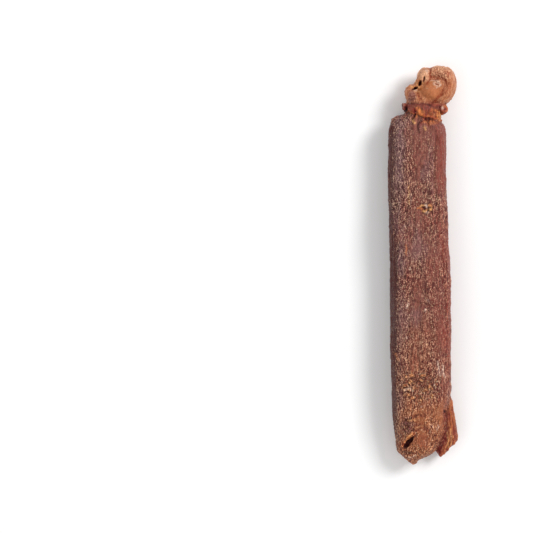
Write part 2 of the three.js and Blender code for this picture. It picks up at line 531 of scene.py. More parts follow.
@dataclass(frozen=True)
class Limb:
    """A tapering limb along a path, with rounded ends and its own width and depth."""

    path: tuple[tuple[float, float, float], ...]
    half_width: tuple[float, ...]
    half_depth: tuple[float, ...]
    rows: int = 90
    columns: int = 56
    blunt: float = 0.5

    def _along_path(self, values: np.ndarray, t: np.ndarray) -> np.ndarray:
        """Reads a smooth curve through evenly spaced values.

        Args:
            values: (knots, columns) values.
            t: Shares of the way along the path.

        Returns:
            (n, columns) values, each column on its own curve.
        """
        knots = np.linspace(0.0, 1.0, len(values))
        columns = [Stations(tuple(zip(knots, column))).at(t) for column in values.T]
        return np.stack(columns, -1)

    def course(self, box: RootBox, t: np.ndarray) -> tuple[np.ndarray, ...]:
        """The path's points, its side and over directions, and its half width and depth.

        Args:
            box: The frame's box.
            t: Shares of the way along the path.

        Returns:
            Points (n, 3), side and over (n, 3) and the two halves (n, 1). Side is the vertical
            crossed with the path's direction, and over is square to both.
        """
        along, across, up = np.array(self.path).T
        points = self._along_path(box.place(along, across, up), t)
        ahead = self._along_path(box.place(along, across, up), np.minimum(t + 0.01, 1.0))
        behind = self._along_path(box.place(along, across, up), np.maximum(t - 0.01, 0.0))
        tangent = ahead - behind
        tangent /= np.linalg.norm(tangent, axis=1, keepdims=True)
        side = np.cross([0.0, 0.0, 1.0], tangent)
        side /= np.linalg.norm(side, axis=1, keepdims=True)
        halves = np.stack([self.half_width, self.half_depth], -1)
        widths = self._along_path(halves, t)
        return points, side, np.cross(tangent, side), widths[:, :1], widths[:, 1:]

    def shell(self, box: RootBox) -> Shell:
        """The limb's closed skin.

        Args:
            box: The frame's box.

        Returns:
            An oval carried along the path: at angle b it is side * width * cos b + over * depth
            * sin b, scaled by sin(a) ^ blunt, where a runs evenly from 0 to pi.
        """
        turn = np.linspace(0.0, math.pi, self.rows)
        t = (1.0 - np.cos(turn)) / 2.0
        points, side, over, width, depth = self.course(box, t)
        round_off = np.abs(np.sin(turn))[:, None, None] ** self.blunt
        round_off[[0, -1]] = 0.0
        b = round_angles(self.columns)[..., None]
        wide = np.cos(b) * (side * width)[:, None, :]
        deep = np.sin(b) * (over * depth)[:, None, :]
        return Shell.over_grid(points[:, None, :] + round_off * (wide + deep))

    def nearness(self, box: RootBox, points: np.ndarray, steps: int = 80) -> tuple[np.ndarray, ...]:
        """Where each point is beside the limb.

        Args:
            box: The frame's box.
            points: (n, 3) points.
            steps: How many places on the path are tried.

        Returns:
            The share of the way along the path that is nearest, the distance from it in half
            widths, and the side of it in half widths, negative on one side.
        """
        t = np.linspace(0.0, 1.0, steps)
        path, side, _, width, depth = self.course(box, t)
        gap = np.linalg.norm(points[:, None, :] - path[None], axis=2)
        nearest = gap.argmin(1)
        away = points - path[nearest]
        sideways = (away * side[nearest]).sum(1) / width[nearest, 0]
        upright = away[:, 2] / depth[nearest, 0]
        return t[nearest], np.hypot(sideways, upright), sideways


@dataclass(frozen=True)
class BarkScale:
    """A loose, cupped scale of bark: a thin leaf bent outwards.

    size is its width, height and thickness in mm, cup how far its edges bend out in mm, and
    facing the degrees that its outer face is turned to, about the root's long axis.
    """

    along: float
    across: float
    up: float
    size: tuple[float, float, float]
    cup: float
    facing: float
    lean: float = 0.0

    def shell(self, box: RootBox) -> Shell:
        """The scale's closed skin.

        Args:
            box: The frame's box.

        Returns:
            A sphere stretched to the scale's size, with cup times its height squared added to
            the direction it faces, then turned and leaned.
        """
        leaf = ball(28, 40)
        width, height, thickness = self.size
        out = leaf[..., 2] * thickness / 2 + self.cup * leaf[..., 1] ** 2
        grid = np.stack([leaf[..., 0] * width / 2, leaf[..., 1] * height / 2, out], -1)
        grid = turned(turned(grid, 1, self.facing), 2, self.lean)
        return Shell.over_grid(grid + box.place(self.along, self.across, self.up))


@dataclass(frozen=True)
class Collar:
    """A ring of old bark round the neck, slanted, with a wavy edge."""

    along: float
    across: float
    up: float
    radii: tuple[float, float]
    thick: float
    slant: float
    waves: tuple[tuple[int, float, float], ...]
    rows: int = 30
    columns: int = 160

    def shell(self, box: RootBox) -> Shell:
        """A disc with a rounded rim.

        Args:
            box: The frame's box.

        Returns:
            At angle b the rim's reach is 1 + the sum of height * cos(count * b + phase) over
            the waves, times the oval's radii, and its thickness falls off as a circle's does.
        """
        b = round_angles(self.columns)
        a = np.linspace(0.0, math.pi, self.rows)[:, None]
        reach = 1.0 + sum(h * np.cos(count * b + phase) for count, h, phase in self.waves)
        rim = np.sin(a) ** 0.4
        rim[[0, -1]] = 0.0
        grid = np.stack(
            [
                self.radii[0] * reach * rim * np.cos(b),
                self.thick / 2 * np.cos(a) * np.ones_like(b),
                self.radii[1] * reach * rim * np.sin(b),
            ],
            -1,
        )
        grid = turned(grid, 2, self.slant)
        return Shell.over_grid(grid + box.place(self.along, self.across, self.up))


@dataclass(frozen=True)
class Neck:
    """The stub of old stem bases between the shoulders and the head, with its loose bark."""

    stub: Limb = Limb(
        path=((0.84, -0.02, 0.46), (0.88, -0.005, 0.49), (0.91, 0.01, 0.5), (0.94, 0.03, 0.5)),
        half_width=(6.2, 5.2, 4.7, 3.6),
        half_depth=(4.9, 4.6, 4.3, 3.6),
    )
    collars: tuple[Collar, ...] = (
        Collar(
            0.902, 0.012, 0.5, radii=(5.3, 4.9), thick=0.8, slant=-4.0,
            waves=((3, 0.03, 0.6), (5, 0.03, 1.9), (11, 0.018, 0.2)),
        ),
        Collar(
            0.881, 0.0, 0.49, radii=(5.3, 5.0), thick=1.0, slant=-12.0,
            waves=((2, 0.03, 0.3), (5, 0.04, 2.6), (9, 0.02, 1.2)),
        ),
        Collar(
            0.872, 0.02, 0.49, radii=(5.4, 4.9), thick=0.9, slant=-20.0,
            waves=((3, 0.05, 2.2), (7, 0.025, 0.4)),
        ),
    )
    scales: tuple[BarkScale, ...] = (
        BarkScale(0.8962, -0.272, 0.6, (3.4, 2.3, 0.8), 0.4, -74.0, 14.0),
        BarkScale(0.886, 0.315, 0.4, (3.4, 2.4, 0.7), 0.4, 84.0, 6.0),
        BarkScale(0.884, 0.1, 0.12, (4.0, 2.6, 0.6), 0.6, 176.0, 8.0),
    )
    ear: Lobe = Lobe(0.8868, 0.302, 0.6, (1.15, 1.4, 1.9), -12.0)
    # The hollow under the left scale, sunk and given painted shade.
    hollow: Pit = Pit(0.889, -0.236, 0.72, 1.3, 2.6, 12.0)

    def shells(self, box: RootBox) -> list[Shell]:
        """The stub, its collars, its scales and the curled ear of bark on the right."""
        return [part.shell(box) for part in (self.stub, *self.collars, *self.scales, self.ear)]


@dataclass(frozen=True)
class Head:
    """The knotted head: lobes round a heart, and one lobe that curls over the top."""

    curl: Limb = Limb(
        path=(
            (0.893, 0.16, 0.48), (0.913, 0.275, 0.52), (0.93, 0.345, 0.54), (0.953, 0.378, 0.55),
            (0.974, 0.332, 0.56), (0.982, 0.205, 0.56), (0.9785, 0.06, 0.54),
        ),
        half_width=(1.9, 2.1, 2.15, 2.1, 2.15, 1.95, 1.9),
        half_depth=(3.4, 4.0, 4.4, 4.6, 4.6, 4.4, 3.9),
    )
    lobes: tuple[Lobe, ...] = (
        Lobe(0.927, -0.165, 0.5, (1.95, 2.7, 3.9), 6.0),  # lower left
        Lobe(0.9695, 0.026, 0.52, (2.3, 2.75, 3.9), -14.0),  # upper left
        Lobe(0.9475, -0.02, 0.46, (2.05, 2.7, 3.4), -38.0),  # between the two
        Lobe(0.943, 0.12, 0.47, (5.0, 4.8, 4.4)),  # heart
        Lobe(0.9335, 0.125, 0.55, (3.3, 3.7, 4.9), 8.0),  # front bulge
        Lobe(0.947, 0.24, 0.5, (2.9, 4.0, 4.5), -8.0),  # under the curl
    )
    hollows: tuple[Pit, ...] = (
        Pit(0.9632, 0.008, 0.34, 0.98, 2.6, -12.0),
        Pit(0.9532, -0.044, 0.42, 1.0, 2.8, -20.0),
        Pit(0.9395, -0.12, 0.42, 1.08, 2.4, -66.0),
    )

    def shells(self, box: RootBox) -> list[Shell]:
        """The curl and the lobes."""
        return [part.shell(box) for part in (self.curl, *self.lobes)]


@dataclass(frozen=True)
class SideRoot:
    """The strap-like side root that leaves the right flank, cut off on a slant."""

    strap: Limb = Limb(
        path=(
            (0.195, 0.3, 0.4), (0.16, 0.362, 0.4), (0.13, 0.372, 0.39), (0.1, 0.375, 0.37),
            (0.065, 0.366, 0.34), (0.03, 0.31, 0.31), (-0.02, 0.25, 0.29),
        ),
        half_width=(1.0, 1.3, 1.6, 2.15, 2.85, 3.3, 3.2),
        half_depth=(1.6, 2.1, 2.3, 2.4, 2.4, 2.3, 2.2),
        rows=120,
    )
    cuts: tuple[tuple[float, float, float], ...] = ((0.0385, 0.375, 44.0), (0.0289, 0.218, -56.0))
    armpit: Pit = Pit(0.1345, 0.308, 0.32, 0.55, 1.0, 24.0)

    def shell(self, box: RootBox) -> Shell:
        """The strap with its end cut.

        Args:
            box: The frame's box.

        Returns:
            The limb's skin. Points past a cut's plane go back onto it, square to it. A cut is
            an along, an across and the degrees that it slants from straight across.
        """
        skin = self.strap.shell(box)
        for along, across, degrees in self.cuts:
            slant = math.radians(degrees)
            normal = np.array([math.sin(slant), -math.cos(slant), 0.0])
            past = np.maximum((skin.points - box.place(along, across, 0.3)) @ normal, 0.0)
            skin = Shell(skin.points - np.outer(past, normal), skin.faces)
        return skin


@dataclass(frozen=True)
class Tail:
    """The blunt tail: a rounded knob, a small trimmed nub, and the long split beside them."""

    lumps: tuple[Lobe, ...] = (
        Lobe(0.0575, -0.005, 0.62, (3.5, 4.0, 2.75), 10.0),  # knob
        Lobe(0.014, -0.135, 0.42, (1.25, 1.5, 1.7), 24.0),  # nub
    )
    split: Pit = Pit(0.059, -0.2, 0.6, 2.7, 2.2, -39.0)

    def shells(self, box: RootBox) -> list[Shell]:
        """The knob and the nub."""
        return [lump.shell(box) for lump in self.lumps]


# ---------------------------------------------------------------------------------------------
# The skin: one closed mesh, the paint on it, and the kinds of mark and patch it has


@dataclass
class Skin:
    """The root's closed skin as arrays, in mm."""

    mesh: bpy.types.Mesh
    points: np.ndarray = field(init=False)
    edges: np.ndarray = field(init=False)

    def __post_init__(self) -> None:
        """Reads the points and the edges out of the mesh."""
        count = len(self.mesh.vertices)
        flat = np.empty(count * 3)
        self.mesh.vertices.foreach_get("co", flat)
        self.points = flat.reshape(-1, 3) / MM
        ends = np.empty(len(self.mesh.edges) * 2, np.int32)
        self.mesh.edges.foreach_get("vertices", ends)
        self.edges = ends.reshape(-1, 2)

    def averaged(self, values: np.ndarray, rounds: int) -> np.ndarray:
        """Spreads values over the skin.

        Args:
            values: One row for each point.
            rounds: How many times they are spread.

        Returns:
            The values, moved in each round halfway to the mean of their neighbours'.
        """
        one, two = self.edges.T
        count = len(self.points)
        degree = np.bincount(one, minlength=count) + np.bincount(two, minlength=count)
        columns = values.reshape(count, -1).copy()
        for _ in range(rounds):
            for k in range(columns.shape[1]):
                column = columns[:, k]
                total = np.bincount(one, column[two], count) + np.bincount(two, column[one], count)
                columns[:, k] = 0.5 * column + 0.5 * total / degree
        return columns.reshape(values.shape)

    def soften(self, rounds: int, share: np.ndarray | float = 1.0) -> None:
        """Moves each point its share of the way to where so many rounds of averaging put it."""
        smooth = self.averaged(self.points, rounds)
        self.points += np.reshape(share, (-1, 1)) * (smooth - self.points)

    def normals(self) -> np.ndarray:
        """Reads the normals of the mesh.

        Returns:
            The outward direction at each point, one unit long.
        """
        self.write()
        flat = np.empty(len(self.points) * 3, np.float32)
        self.mesh.vertex_normals.foreach_get("vector", flat)
        return flat.reshape(-1, 3).astype(float)

    def push(self, height: np.ndarray) -> None:
        """Moves each point out along its normal by its height in mm."""
        self.points += self.normals() * height[:, None]

    def rest_on_surface(self, box: RootBox, ease: float = 0.12) -> None:
        """Presses the underside flat, with the last trace of its wrinkles left.

        Heights below ease are bent up towards zero as ease * e^(height / ease - 1).

        Args:
            box: The frame's box.
            ease: Where the pressing starts, in mm above the surface.
        """
        up = self.points[:, 2] - box.low[2]
        pressed = ease * np.exp(np.minimum(up / ease - 1.0, 0.0))
        self.points[:, 2] = box.low[2] + np.where(up < ease, pressed, up)

    def fit(self, box: RootBox) -> None:
        """Stretches the skin by the last fraction of a millimetre that fills the frame's box."""
        low, high = self.points.min(0), self.points.max(0)
        self.points = box.low + (self.points - low) / (high - low) * box.size

    def write(self) -> None:
        """Puts the points back into the mesh."""
        self.mesh.vertices.foreach_set("co", (self.points * MM).ravel())
        self.mesh.update()

    def store(self, name: str, values: np.ndarray) -> None:
        """Stores values as an attribute of the mesh.

        Args:
            name: The attribute's name.
            values: A number for each point, or a row of three for a colour.
        """
        if values.ndim == 1:
            layer = self.mesh.attributes.new(name, "FLOAT", "POINT")
            layer.data.foreach_set("value", values.astype(np.float32))
            return
        alpha = np.ones((len(values), 1))
        layer = self.mesh.color_attributes.new(name, "FLOAT_COLOR", "POINT")
        layer.data.foreach_set("color", np.hstack([values, alpha]).astype(np.float32).ravel())


GLOSS_VEIL = 0.03  # the white that the skin's gloss adds to every colour
DAYLIGHT = 1.1  # what a white surface sends back under the studio's light
DARKEST = 0.006  # no paint is darker than this


class Tint(Enum):
    """The root's colours as they look in daylight: red, green and blue from 0 to 255."""

    BACK = (133, 86, 77)
    BACK_GREY = (132, 100, 100)
    BACK_WARM = (140, 81, 72)
    BACK_DEEP = (104, 60, 52)
    # Painted shade for the left flank.
    FLANK_SHADE = (82, 49, 51)
    TAIL = (165, 105, 74)
    TAIL_ROSE = (150, 88, 68)
    HEAD = (190, 128, 93)
    HEAD_PALE = (224, 174, 136)
    BULGE = (182, 116, 80)
    GROOVE_RED = (128, 58, 36)
    EMBER = (160, 74, 42)
    # The dark red-brown of the hollows and the deepest cracks, darkened further as painted shade.
    HOLLOW_SHADE = (84, 30, 24)
    NECK = (128, 72, 66)
    NECK_LOW = (132, 72, 58)
    FIBRE = (198, 122, 74)
    GOLD = (218, 166, 108)
    FLAKE = (196, 138, 92)
    PALE = (222, 200, 178)
    STRAP = (158, 94, 66)
    STRAP_DEEP = (122, 50, 28)
    MAUVE = (134, 88, 80)

    @property
    def linear(self) -> np.ndarray:
        """The paint that looks so under the studio's light and the skin's own gloss.

        Returns:
            Each channel's share of 255, decoded from the display curve, less the gloss's veil
            and divided by the strength of the light.
        """
        share = np.array(self.value) / 255.0
        seen = np.where(share <= 0.04045, share / 12.92, ((share + 0.055) / 1.055) ** 2.4)
        return np.maximum(seen - GLOSS_VEIL, DARKEST) / DAYLIGHT


@dataclass
class Paint:
    """A colour for each point of the skin, laid on in coats."""

    colour: np.ndarray

    @classmethod
    def primed(cls, count: int, tint: Tint) -> "Paint":
        """One plain coat."""
        return cls(np.tile(tint.linear, (count, 1)))

    def coat(self, tint: Tint, cover: np.ndarray) -> None:
        """Lays a tint over what is there, as thick as cover says, from 0 to 1."""
        share = np.clip(cover, 0.0, 1.0)[:, None]
        self.colour += share * (tint.linear - self.colour)

    def brightness(self) -> np.ndarray:
        """How bright each point's paint is to the eye, 0 to 1."""
        return self.colour @ np.array([0.21, 0.72, 0.07])

    def shade(self, factor: np.ndarray) -> None:
        """Makes each point lighter or darker, as painted light and shade."""
        self.colour *= factor[:, None]


@dataclass(frozen=True)
class Stroke:
    """A crack, crease or streak on the upper side: a line of (along, across) places.

    width and depth are in mm. A negative depth stands out of the skin.
    """

    line: tuple[tuple[float, float], ...]
    width: float
    depth: float
    tint: Tint
    cover: float = 1.0

    def distance(self, box: RootBox, points: np.ndarray) -> np.ndarray:
        """Measures how far points are from the line, seen from above.

        Args:
            box: The frame's box.
            points: (n, 3) points.

        Returns:
            The least of the distances to the line's straight runs, in mm.
        """
        along, across = np.array(self.line).T
        line = box.place(along, across, 0.0)[:, :2]
        best = np.full(len(points), np.inf)
        for start, end in zip(line[:-1], line[1:]):
            run = end - start
            away = points[:, :2] - start
            t = np.clip(away @ run / (run @ run), 0.0, 1.0)
            best = np.minimum(best, np.linalg.norm(away - t[:, None] * run, axis=1))
        return best


@dataclass(frozen=True)
class Patch:
    """An oval area on the upper side, with its half length and half width in mm."""

    along: float
    across: float
    half_length: float
    half_width: float

    def cover(self, box: RootBox, points: np.ndarray) -> np.ndarray:
        """Finds which points the oval covers.

        Args:
            box: The frame's box.
            points: (n, 3) points.

        Returns:
            1 inside the oval, easing to 0 a little outside it.
        """
        away = points[:, :2] - box.place(self.along, self.across, 0.0)[:2]
        reach = np.hypot(away[:, 0] / self.half_width, away[:, 1] / self.half_length)
        return smooth_step(reach, 1.25, 0.6)


# ---------------------------------------------------------------------------------------------
# What happened to the skin: its cracks, streaks and patches, and what shapes and colours it

# Where the side root leaves the flank.
STRAP_GROOVE = Stroke(
    ((0.128, 0.318), (0.118, 0.325), (0.085, 0.32), (0.065, 0.295), (0.045, 0.215)),
    0.75, 0.2, Tint.STRAP_DEEP, 0.85,
)

CRACKS: tuple[Stroke, ...] = (
    # Between the upper left lobe and the front bulge.
    Stroke(
        ((0.99, 0.1), (0.973, 0.1), (0.966, 0.108), (0.9588, 0.078), (0.9508, 0.051)),
        0.28, 0.2, Tint.EMBER, 0.85,
    ),
    # Over the bulge, under the granular top.
    Stroke(
        ((0.966, 0.108), (0.962, 0.167), (0.962, 0.235), (0.9615, 0.298)),
        0.35, 0.14, Tint.EMBER, 0.5,
    ),
    # Round the bulge, inside the curl.
    Stroke(
        (
            (0.9615, 0.298), (0.9555, 0.316), (0.9415, 0.299), (0.932, 0.281), (0.9235, 0.246),
            (0.917, 0.205), (0.908, 0.17),
        ),
        0.34, 0.18, Tint.EMBER, 0.75,
    ),
    # A second fold in the curl.
    Stroke(((0.958, 0.365), (0.945, 0.37), (0.933, 0.345), (0.925, 0.31)), 0.3, 0.16, Tint.EMBER, 0.55),
    # A third, inside it, and the wrinkles of the granular top.
    Stroke(
        ((0.972, 0.33), (0.963, 0.352), (0.949, 0.352), (0.9375, 0.325)),
        0.2, 0.12, Tint.EMBER, 0.55,
    ),
    Stroke(((0.985, 0.3), (0.9745, 0.375), (0.96, 0.415), (0.945, 0.42)), 0.2, 0.1, Tint.EMBER, 0.4),
    Stroke(
        ((0.9835, 0.12), (0.979, 0.17), (0.9755, 0.235), (0.969, 0.28)),
        0.2, 0.14, Tint.EMBER, 0.55,
    ),
    Stroke(((0.97, 0.21), (0.9665, 0.262), (0.9675, 0.3)), 0.2, 0.14, Tint.EMBER, 0.6),
    # Between the lower left lobe and the heart.
    Stroke(((0.938, -0.06), (0.927, -0.07), (0.915, -0.05)), 0.35, 0.24, Tint.EMBER, 0.7),
    # Under the head.
    Stroke(
        ((0.9015, -0.205), (0.902, -0.1), (0.9005, 0.007), (0.899, 0.104), (0.9065, 0.157)),
        0.26, 0.3, Tint.BACK_DEEP,
    ),
    # The crease below the neck, and the cracks that run down from it.
    Stroke(((0.866, -0.003), (0.8635, 0.05), (0.8645, 0.157)), 0.26, 0.45, Tint.STRAP_DEEP),
    Stroke(
        ((0.862, -0.029), (0.8555, -0.056), (0.849, -0.074), (0.836, -0.078), (0.828, -0.07)),
        0.34, 0.5, Tint.HOLLOW_SHADE, 0.8,
    ),
    Stroke(
        ((0.887, -0.118), (0.878, -0.122), (0.8695, -0.144), (0.8645, -0.161)),
        0.3, 0.42, Tint.STRAP_DEEP,
    ),
    # Two arched folds of the shoulder.
    Stroke(
        ((0.8458, -0.033), (0.8583, -0.021), (0.8633, 0.028), (0.857, 0.0625), (0.848, 0.069)),
        0.24, 0.3, Tint.STRAP_DEEP, 0.8,
    ),
    Stroke(
        ((0.857, 0.0625), (0.862, 0.111), (0.8608, 0.18), (0.853, 0.215)),
        0.24, 0.3, Tint.STRAP_DEEP, 0.7,
    ),
    # The edge of the pressed top face, along the right.
    Stroke(((0.82, 0.2), (0.73, 0.15), (0.66, 0.2), (0.61, 0.228)), 0.35, 0.12, Tint.BACK_DEEP, 0.6),
    Stroke(
        ((0.58, 0.24), (0.5, 0.28), (0.42, 0.31), (0.35, 0.31), (0.24, 0.33)),
        0.3, 0.2, Tint.GROOVE_RED, 0.6,
    ),
    # Across the middle, where a root hair was.
    Stroke(
        ((0.411, -0.167), (0.4055, -0.05), (0.402, 0.04), (0.3995, 0.15)),
        0.35, 0.14, Tint.BACK_DEEP, 0.7,
    ),
    # Folds that arch over the knob of the tail.
    Stroke(
        ((0.0965, -0.2), (0.104, -0.1), (0.1, 0.0), (0.0865, 0.09)),
        0.45, 0.2, Tint.STRAP_DEEP, 0.5,
    ),
    Stroke(
        ((0.112, -0.25), (0.12, -0.167), (0.126, -0.097), (0.125, 0.03)),
        0.4, 0.2, Tint.STRAP_DEEP, 0.5,
    ),
    Stroke(((0.07, -0.33), (0.085, -0.27), (0.098, -0.22)), 0.45, 0.2, Tint.BACK_DEEP, 0.6),
    Stroke(
        ((0.075, -0.12), (0.0885, -0.09), (0.0935, -0.03), (0.0875, 0.04)),
        0.24, 0.14, Tint.STRAP_DEEP, 0.5,
    ),
    Stroke(
        (
            (0.0735, -0.165), (0.0885, -0.145), (0.097, -0.085), (0.0985, 0.0), (0.091, 0.07),
            (0.0785, 0.11),
        ),
        0.24, 0.16, Tint.STRAP_DEEP, 0.5,
    ),
    Stroke(((0.0335, -0.285), (0.0295, -0.22), (0.031, -0.15)), 0.3, 0.22, Tint.BACK_DEEP, 0.8),
    STRAP_GROOVE,
)

STREAKS: tuple[Stroke, ...] = (
    # Pale and gold threads on the left of the back.
    Stroke(((0.698, -0.21), (0.65, -0.208)), 0.2, -0.06, Tint.GOLD, 0.6),
    Stroke(((0.676, -0.185), (0.648, -0.183)), 0.18, -0.06, Tint.PALE, 0.35),
    Stroke(((0.548, -0.25), (0.526, -0.246)), 0.22, -0.05, Tint.FIBRE, 0.6),
    # Torn fibre that hangs from the neck onto the shoulders.
    Stroke(((0.89, -0.08), (0.88, -0.05), (0.872, -0.03)), 0.4, -0.14, Tint.FIBRE, 0.7),
    Stroke(((0.886, -0.05), (0.874, -0.08), (0.868, -0.1)), 0.3, -0.14, Tint.FIBRE, 0.7),
    Stroke(((0.889, 0.125), (0.884, 0.17), (0.878, 0.215)), 0.35, -0.14, Tint.FIBRE, 0.65),
    Stroke(((0.872, 0.19), (0.864, 0.222), (0.859, 0.225)), 0.35, -0.1, Tint.FIBRE, 0.7),
    Stroke(((0.8635, -0.155), (0.857, -0.14), (0.852, -0.13)), 0.28, -0.1, Tint.GOLD, 1.0),
    Stroke(((0.842, 0.012), (0.836, 0.025)), 0.2, -0.06, Tint.GOLD, 0.8),
    # The rough scar of a root hair.
    Stroke(((0.6445, -0.014), (0.637, -0.004)), 0.6, 0.55, Tint.GROOVE_RED, 1.0),
    Stroke(((0.6425, -0.012), (0.638, -0.006)), 0.3, 0.2, Tint.HOLLOW_SHADE, 1.0),
    Stroke(((0.644, 0.06), (0.633, 0.05)), 0.36, 0.4, Tint.HOLLOW_SHADE, 0.95),
    Stroke(((0.6515, -0.06), (0.6535, 0.0), (0.652, 0.06)), 0.3, 0.2, Tint.HOLLOW_SHADE, 0.6),
    Stroke(((0.628, -0.02), (0.627, 0.03), (0.629, 0.07)), 0.3, 0.2, Tint.HOLLOW_SHADE, 0.6),
    Stroke(((0.644, -0.05), (0.6485, -0.028), (0.6495, 0.004)), 0.25, -0.4, Tint.GOLD, 0.95),
    Stroke(((0.6505, 0.026), (0.646, 0.034)), 0.22, -0.4, Tint.PALE, 0.9),
    Stroke(((0.637, 0.03), (0.632, 0.008), (0.6325, -0.018)), 0.24, -0.4, Tint.GOLD, 0.95),
    Stroke(((0.6365, -0.042), (0.6395, -0.058), (0.638, -0.085)), 0.2, -0.25, Tint.FIBRE, 0.9),
    Stroke(((0.639, 0.084), (0.6375, 0.094)), 0.34, -0.4, Tint.GOLD, 0.95),
    Stroke(((0.645, 0.1), (0.6435, 0.104)), 0.2, -0.25, Tint.FLAKE, 0.9),
    Stroke(((0.6305, 0.04), (0.629, 0.05)), 0.26, -0.35, Tint.PALE, 0.85),
    # Pale and gold flecks down the body.
    Stroke(((0.596, -0.278), (0.594, -0.272)), 0.2, -0.08, Tint.PALE, 0.8),
    Stroke(((0.491, -0.195), (0.489, -0.193)), 0.2, -0.07, Tint.PALE, 0.7),
    Stroke(((0.403, -0.215), (0.394, -0.235)), 0.18, -0.08, Tint.PALE, 0.9),
    Stroke(((0.411, 0.06), (0.409, 0.075)), 0.2, -0.08, Tint.PALE, 0.7),
    Stroke(((0.3885, 0.02), (0.386, 0.02)), 0.2, -0.07, Tint.PALE, 0.7),
    Stroke(((0.319, -0.24), (0.316, -0.235)), 0.24, -0.08, Tint.PALE, 0.6),
    Stroke(((0.277, -0.395), (0.266, -0.37)), 0.3, -0.08, Tint.FIBRE, 0.6),
    Stroke(((0.26, 0.2), (0.235, 0.215), (0.225, 0.24)), 0.22, -0.1, Tint.PALE, 0.85),
    Stroke(((0.25, 0.27), (0.232, 0.265), (0.222, 0.3)), 0.2, -0.1, Tint.PALE, 0.8),
    Stroke(((0.189, -0.255), (0.192, -0.2), (0.187, -0.17)), 0.26, -0.1, Tint.PALE, 0.7),
    Stroke(((0.2, 0.145), (0.199, 0.15)), 0.22, -0.08, Tint.PALE, 0.7),
    Stroke(((0.175, 0.12), (0.169, 0.13)), 0.24, -0.08, Tint.GOLD, 0.9),
    Stroke(((0.147, -0.04), (0.146, -0.035)), 0.2, -0.06, Tint.PALE, 0.6),
    # Fibre on the knob, the pebbles and the side root, and painted glints on the right of the tail.
    Stroke(((0.0805, -0.155), (0.064, -0.25), (0.047, -0.295)), 0.36, -0.24, Tint.FIBRE, 0.95),
    Stroke(((0.079, -0.17), (0.067, -0.245)), 0.16, -0.14, Tint.GOLD, 0.8),
    Stroke(((0.0475, -0.262), (0.056, -0.215), (0.0655, -0.165)), 0.2, -0.1, Tint.FIBRE, 0.6),
    Stroke(((0.02, -0.21), (0.022, -0.17), (0.024, -0.12)), 0.26, -0.1, Tint.PALE, 0.5),
    Stroke(((0.165, 0.41), (0.15, 0.41)), 0.3, -0.1, Tint.FIBRE, 0.8),
    # Painted glints on the right of the tail.
    Stroke(((0.101, 0.216), (0.095, 0.224)), 0.18, -0.08, Tint.PALE, 0.7),
    Stroke(((0.1, 0.115), (0.0945, 0.124)), 0.16, -0.08, Tint.PALE, 0.5),
    Stroke(((0.093, 0.19), (0.087, 0.2)), 0.16, -0.08, Tint.PALE, 0.5),
    Stroke(((0.0935, -0.115), (0.0975, -0.06), (0.0985, 0.0)), 0.18, -0.1, Tint.GOLD, 0.4),
    Stroke(((0.112, -0.22), (0.1135, -0.17), (0.1155, -0.12)), 0.24, -0.16, Tint.GOLD, 0.5),
    Stroke(((0.082, 0.345), (0.062, 0.362), (0.045, 0.36)), 0.16, -0.12, Tint.GOLD, 0.6),
    Stroke(((0.09, 0.385), (0.068, 0.41), (0.0505, 0.4)), 0.16, -0.12, Tint.GOLD, 0.6),
    # Beside the bud scar.
    Stroke(
        ((0.957, 0.086), (0.9585, 0.15), (0.957, 0.22), (0.947, 0.228), (0.939, 0.18)),
        0.16, -0.06, Tint.PALE, 0.55,
    ),
    # The rim of the ear of bark, and a painted highlight inside it.
    Stroke(((0.895, 0.275), (0.896, 0.31), (0.89, 0.345), (0.882, 0.335)), 0.2, -0.08, Tint.FIBRE, 0.7),
    Stroke(((0.8895, 0.312), (0.8845, 0.308)), 0.3, 0.55, Tint.GROOVE_RED, 0.9),
    # A painted highlight inside the ear.
    Stroke(((0.893, 0.29), (0.8885, 0.287)), 0.2, -0.02, Tint.PALE, 0.75),
    # The rim of the lower left lobe.
    Stroke(
        ((0.906, -0.225), (0.918, -0.238), (0.932, -0.236), (0.9425, -0.205), (0.948, -0.155)),
        0.34, -0.05, Tint.FIBRE, 0.85,
    ),
    # Gold ridges between the hollows of the head, and a painted highlight on the lower left lobe.
    Stroke(((0.966, -0.042), (0.95, -0.004)), 0.2, -0.16, Tint.GOLD, 0.8),
    Stroke(((0.957, -0.1), (0.9395, -0.062)), 0.22, -0.16, Tint.GOLD, 0.8),
    Stroke(((0.944, -0.165), (0.933, -0.12), (0.932, -0.06)), 0.26, -0.16, Tint.GOLD, 0.95),
    # A painted highlight on the rim of the lower left lobe.
    Stroke(((0.9345, -0.13), (0.9325, -0.105)), 0.2, -0.1, Tint.PALE, 0.8),
    Stroke(((0.985, 0.02), (0.9815, 0.05), (0.976, 0.045)), 0.2, -0.06, Tint.PALE, 0.5),
)

# Patches of the head.
GRAINY_TOP = Patch(0.978, 0.235, 2.3, 4.2)
UPPER_LOBE = Patch(0.972, 0.02, 1.6, 1.5)
SLIT_ZONE = Patch(0.95, -0.07, 2.2, 1.5)
BUD_SCAR = Patch(0.9495, 0.187, 0.46, 0.62)
FRONT_BULGE = Patch(0.934, 0.11, 3.2, 3.2)
LOWER_LOBE = Patch(0.921, -0.165, 1.9, 1.3)
# Patches of the body.
SHOULDER_FOLDS = Patch(0.8565, 0.09, 0.9, 2.6)
HAIR_SCAR = Patch(0.6405, 0.035, 1.5, 1.8)
TANGLE = Patch(0.4545, -0.02, 3.8, 3.4)
FLAKY = Patch(0.2, -0.07, 4.6, 5.4)
# Patches of the tail.
PEBBLES = Patch(0.1, -0.23, 2.6, 2.1)
KNOB = Patch(0.061, -0.005, 2.4, 2.0)


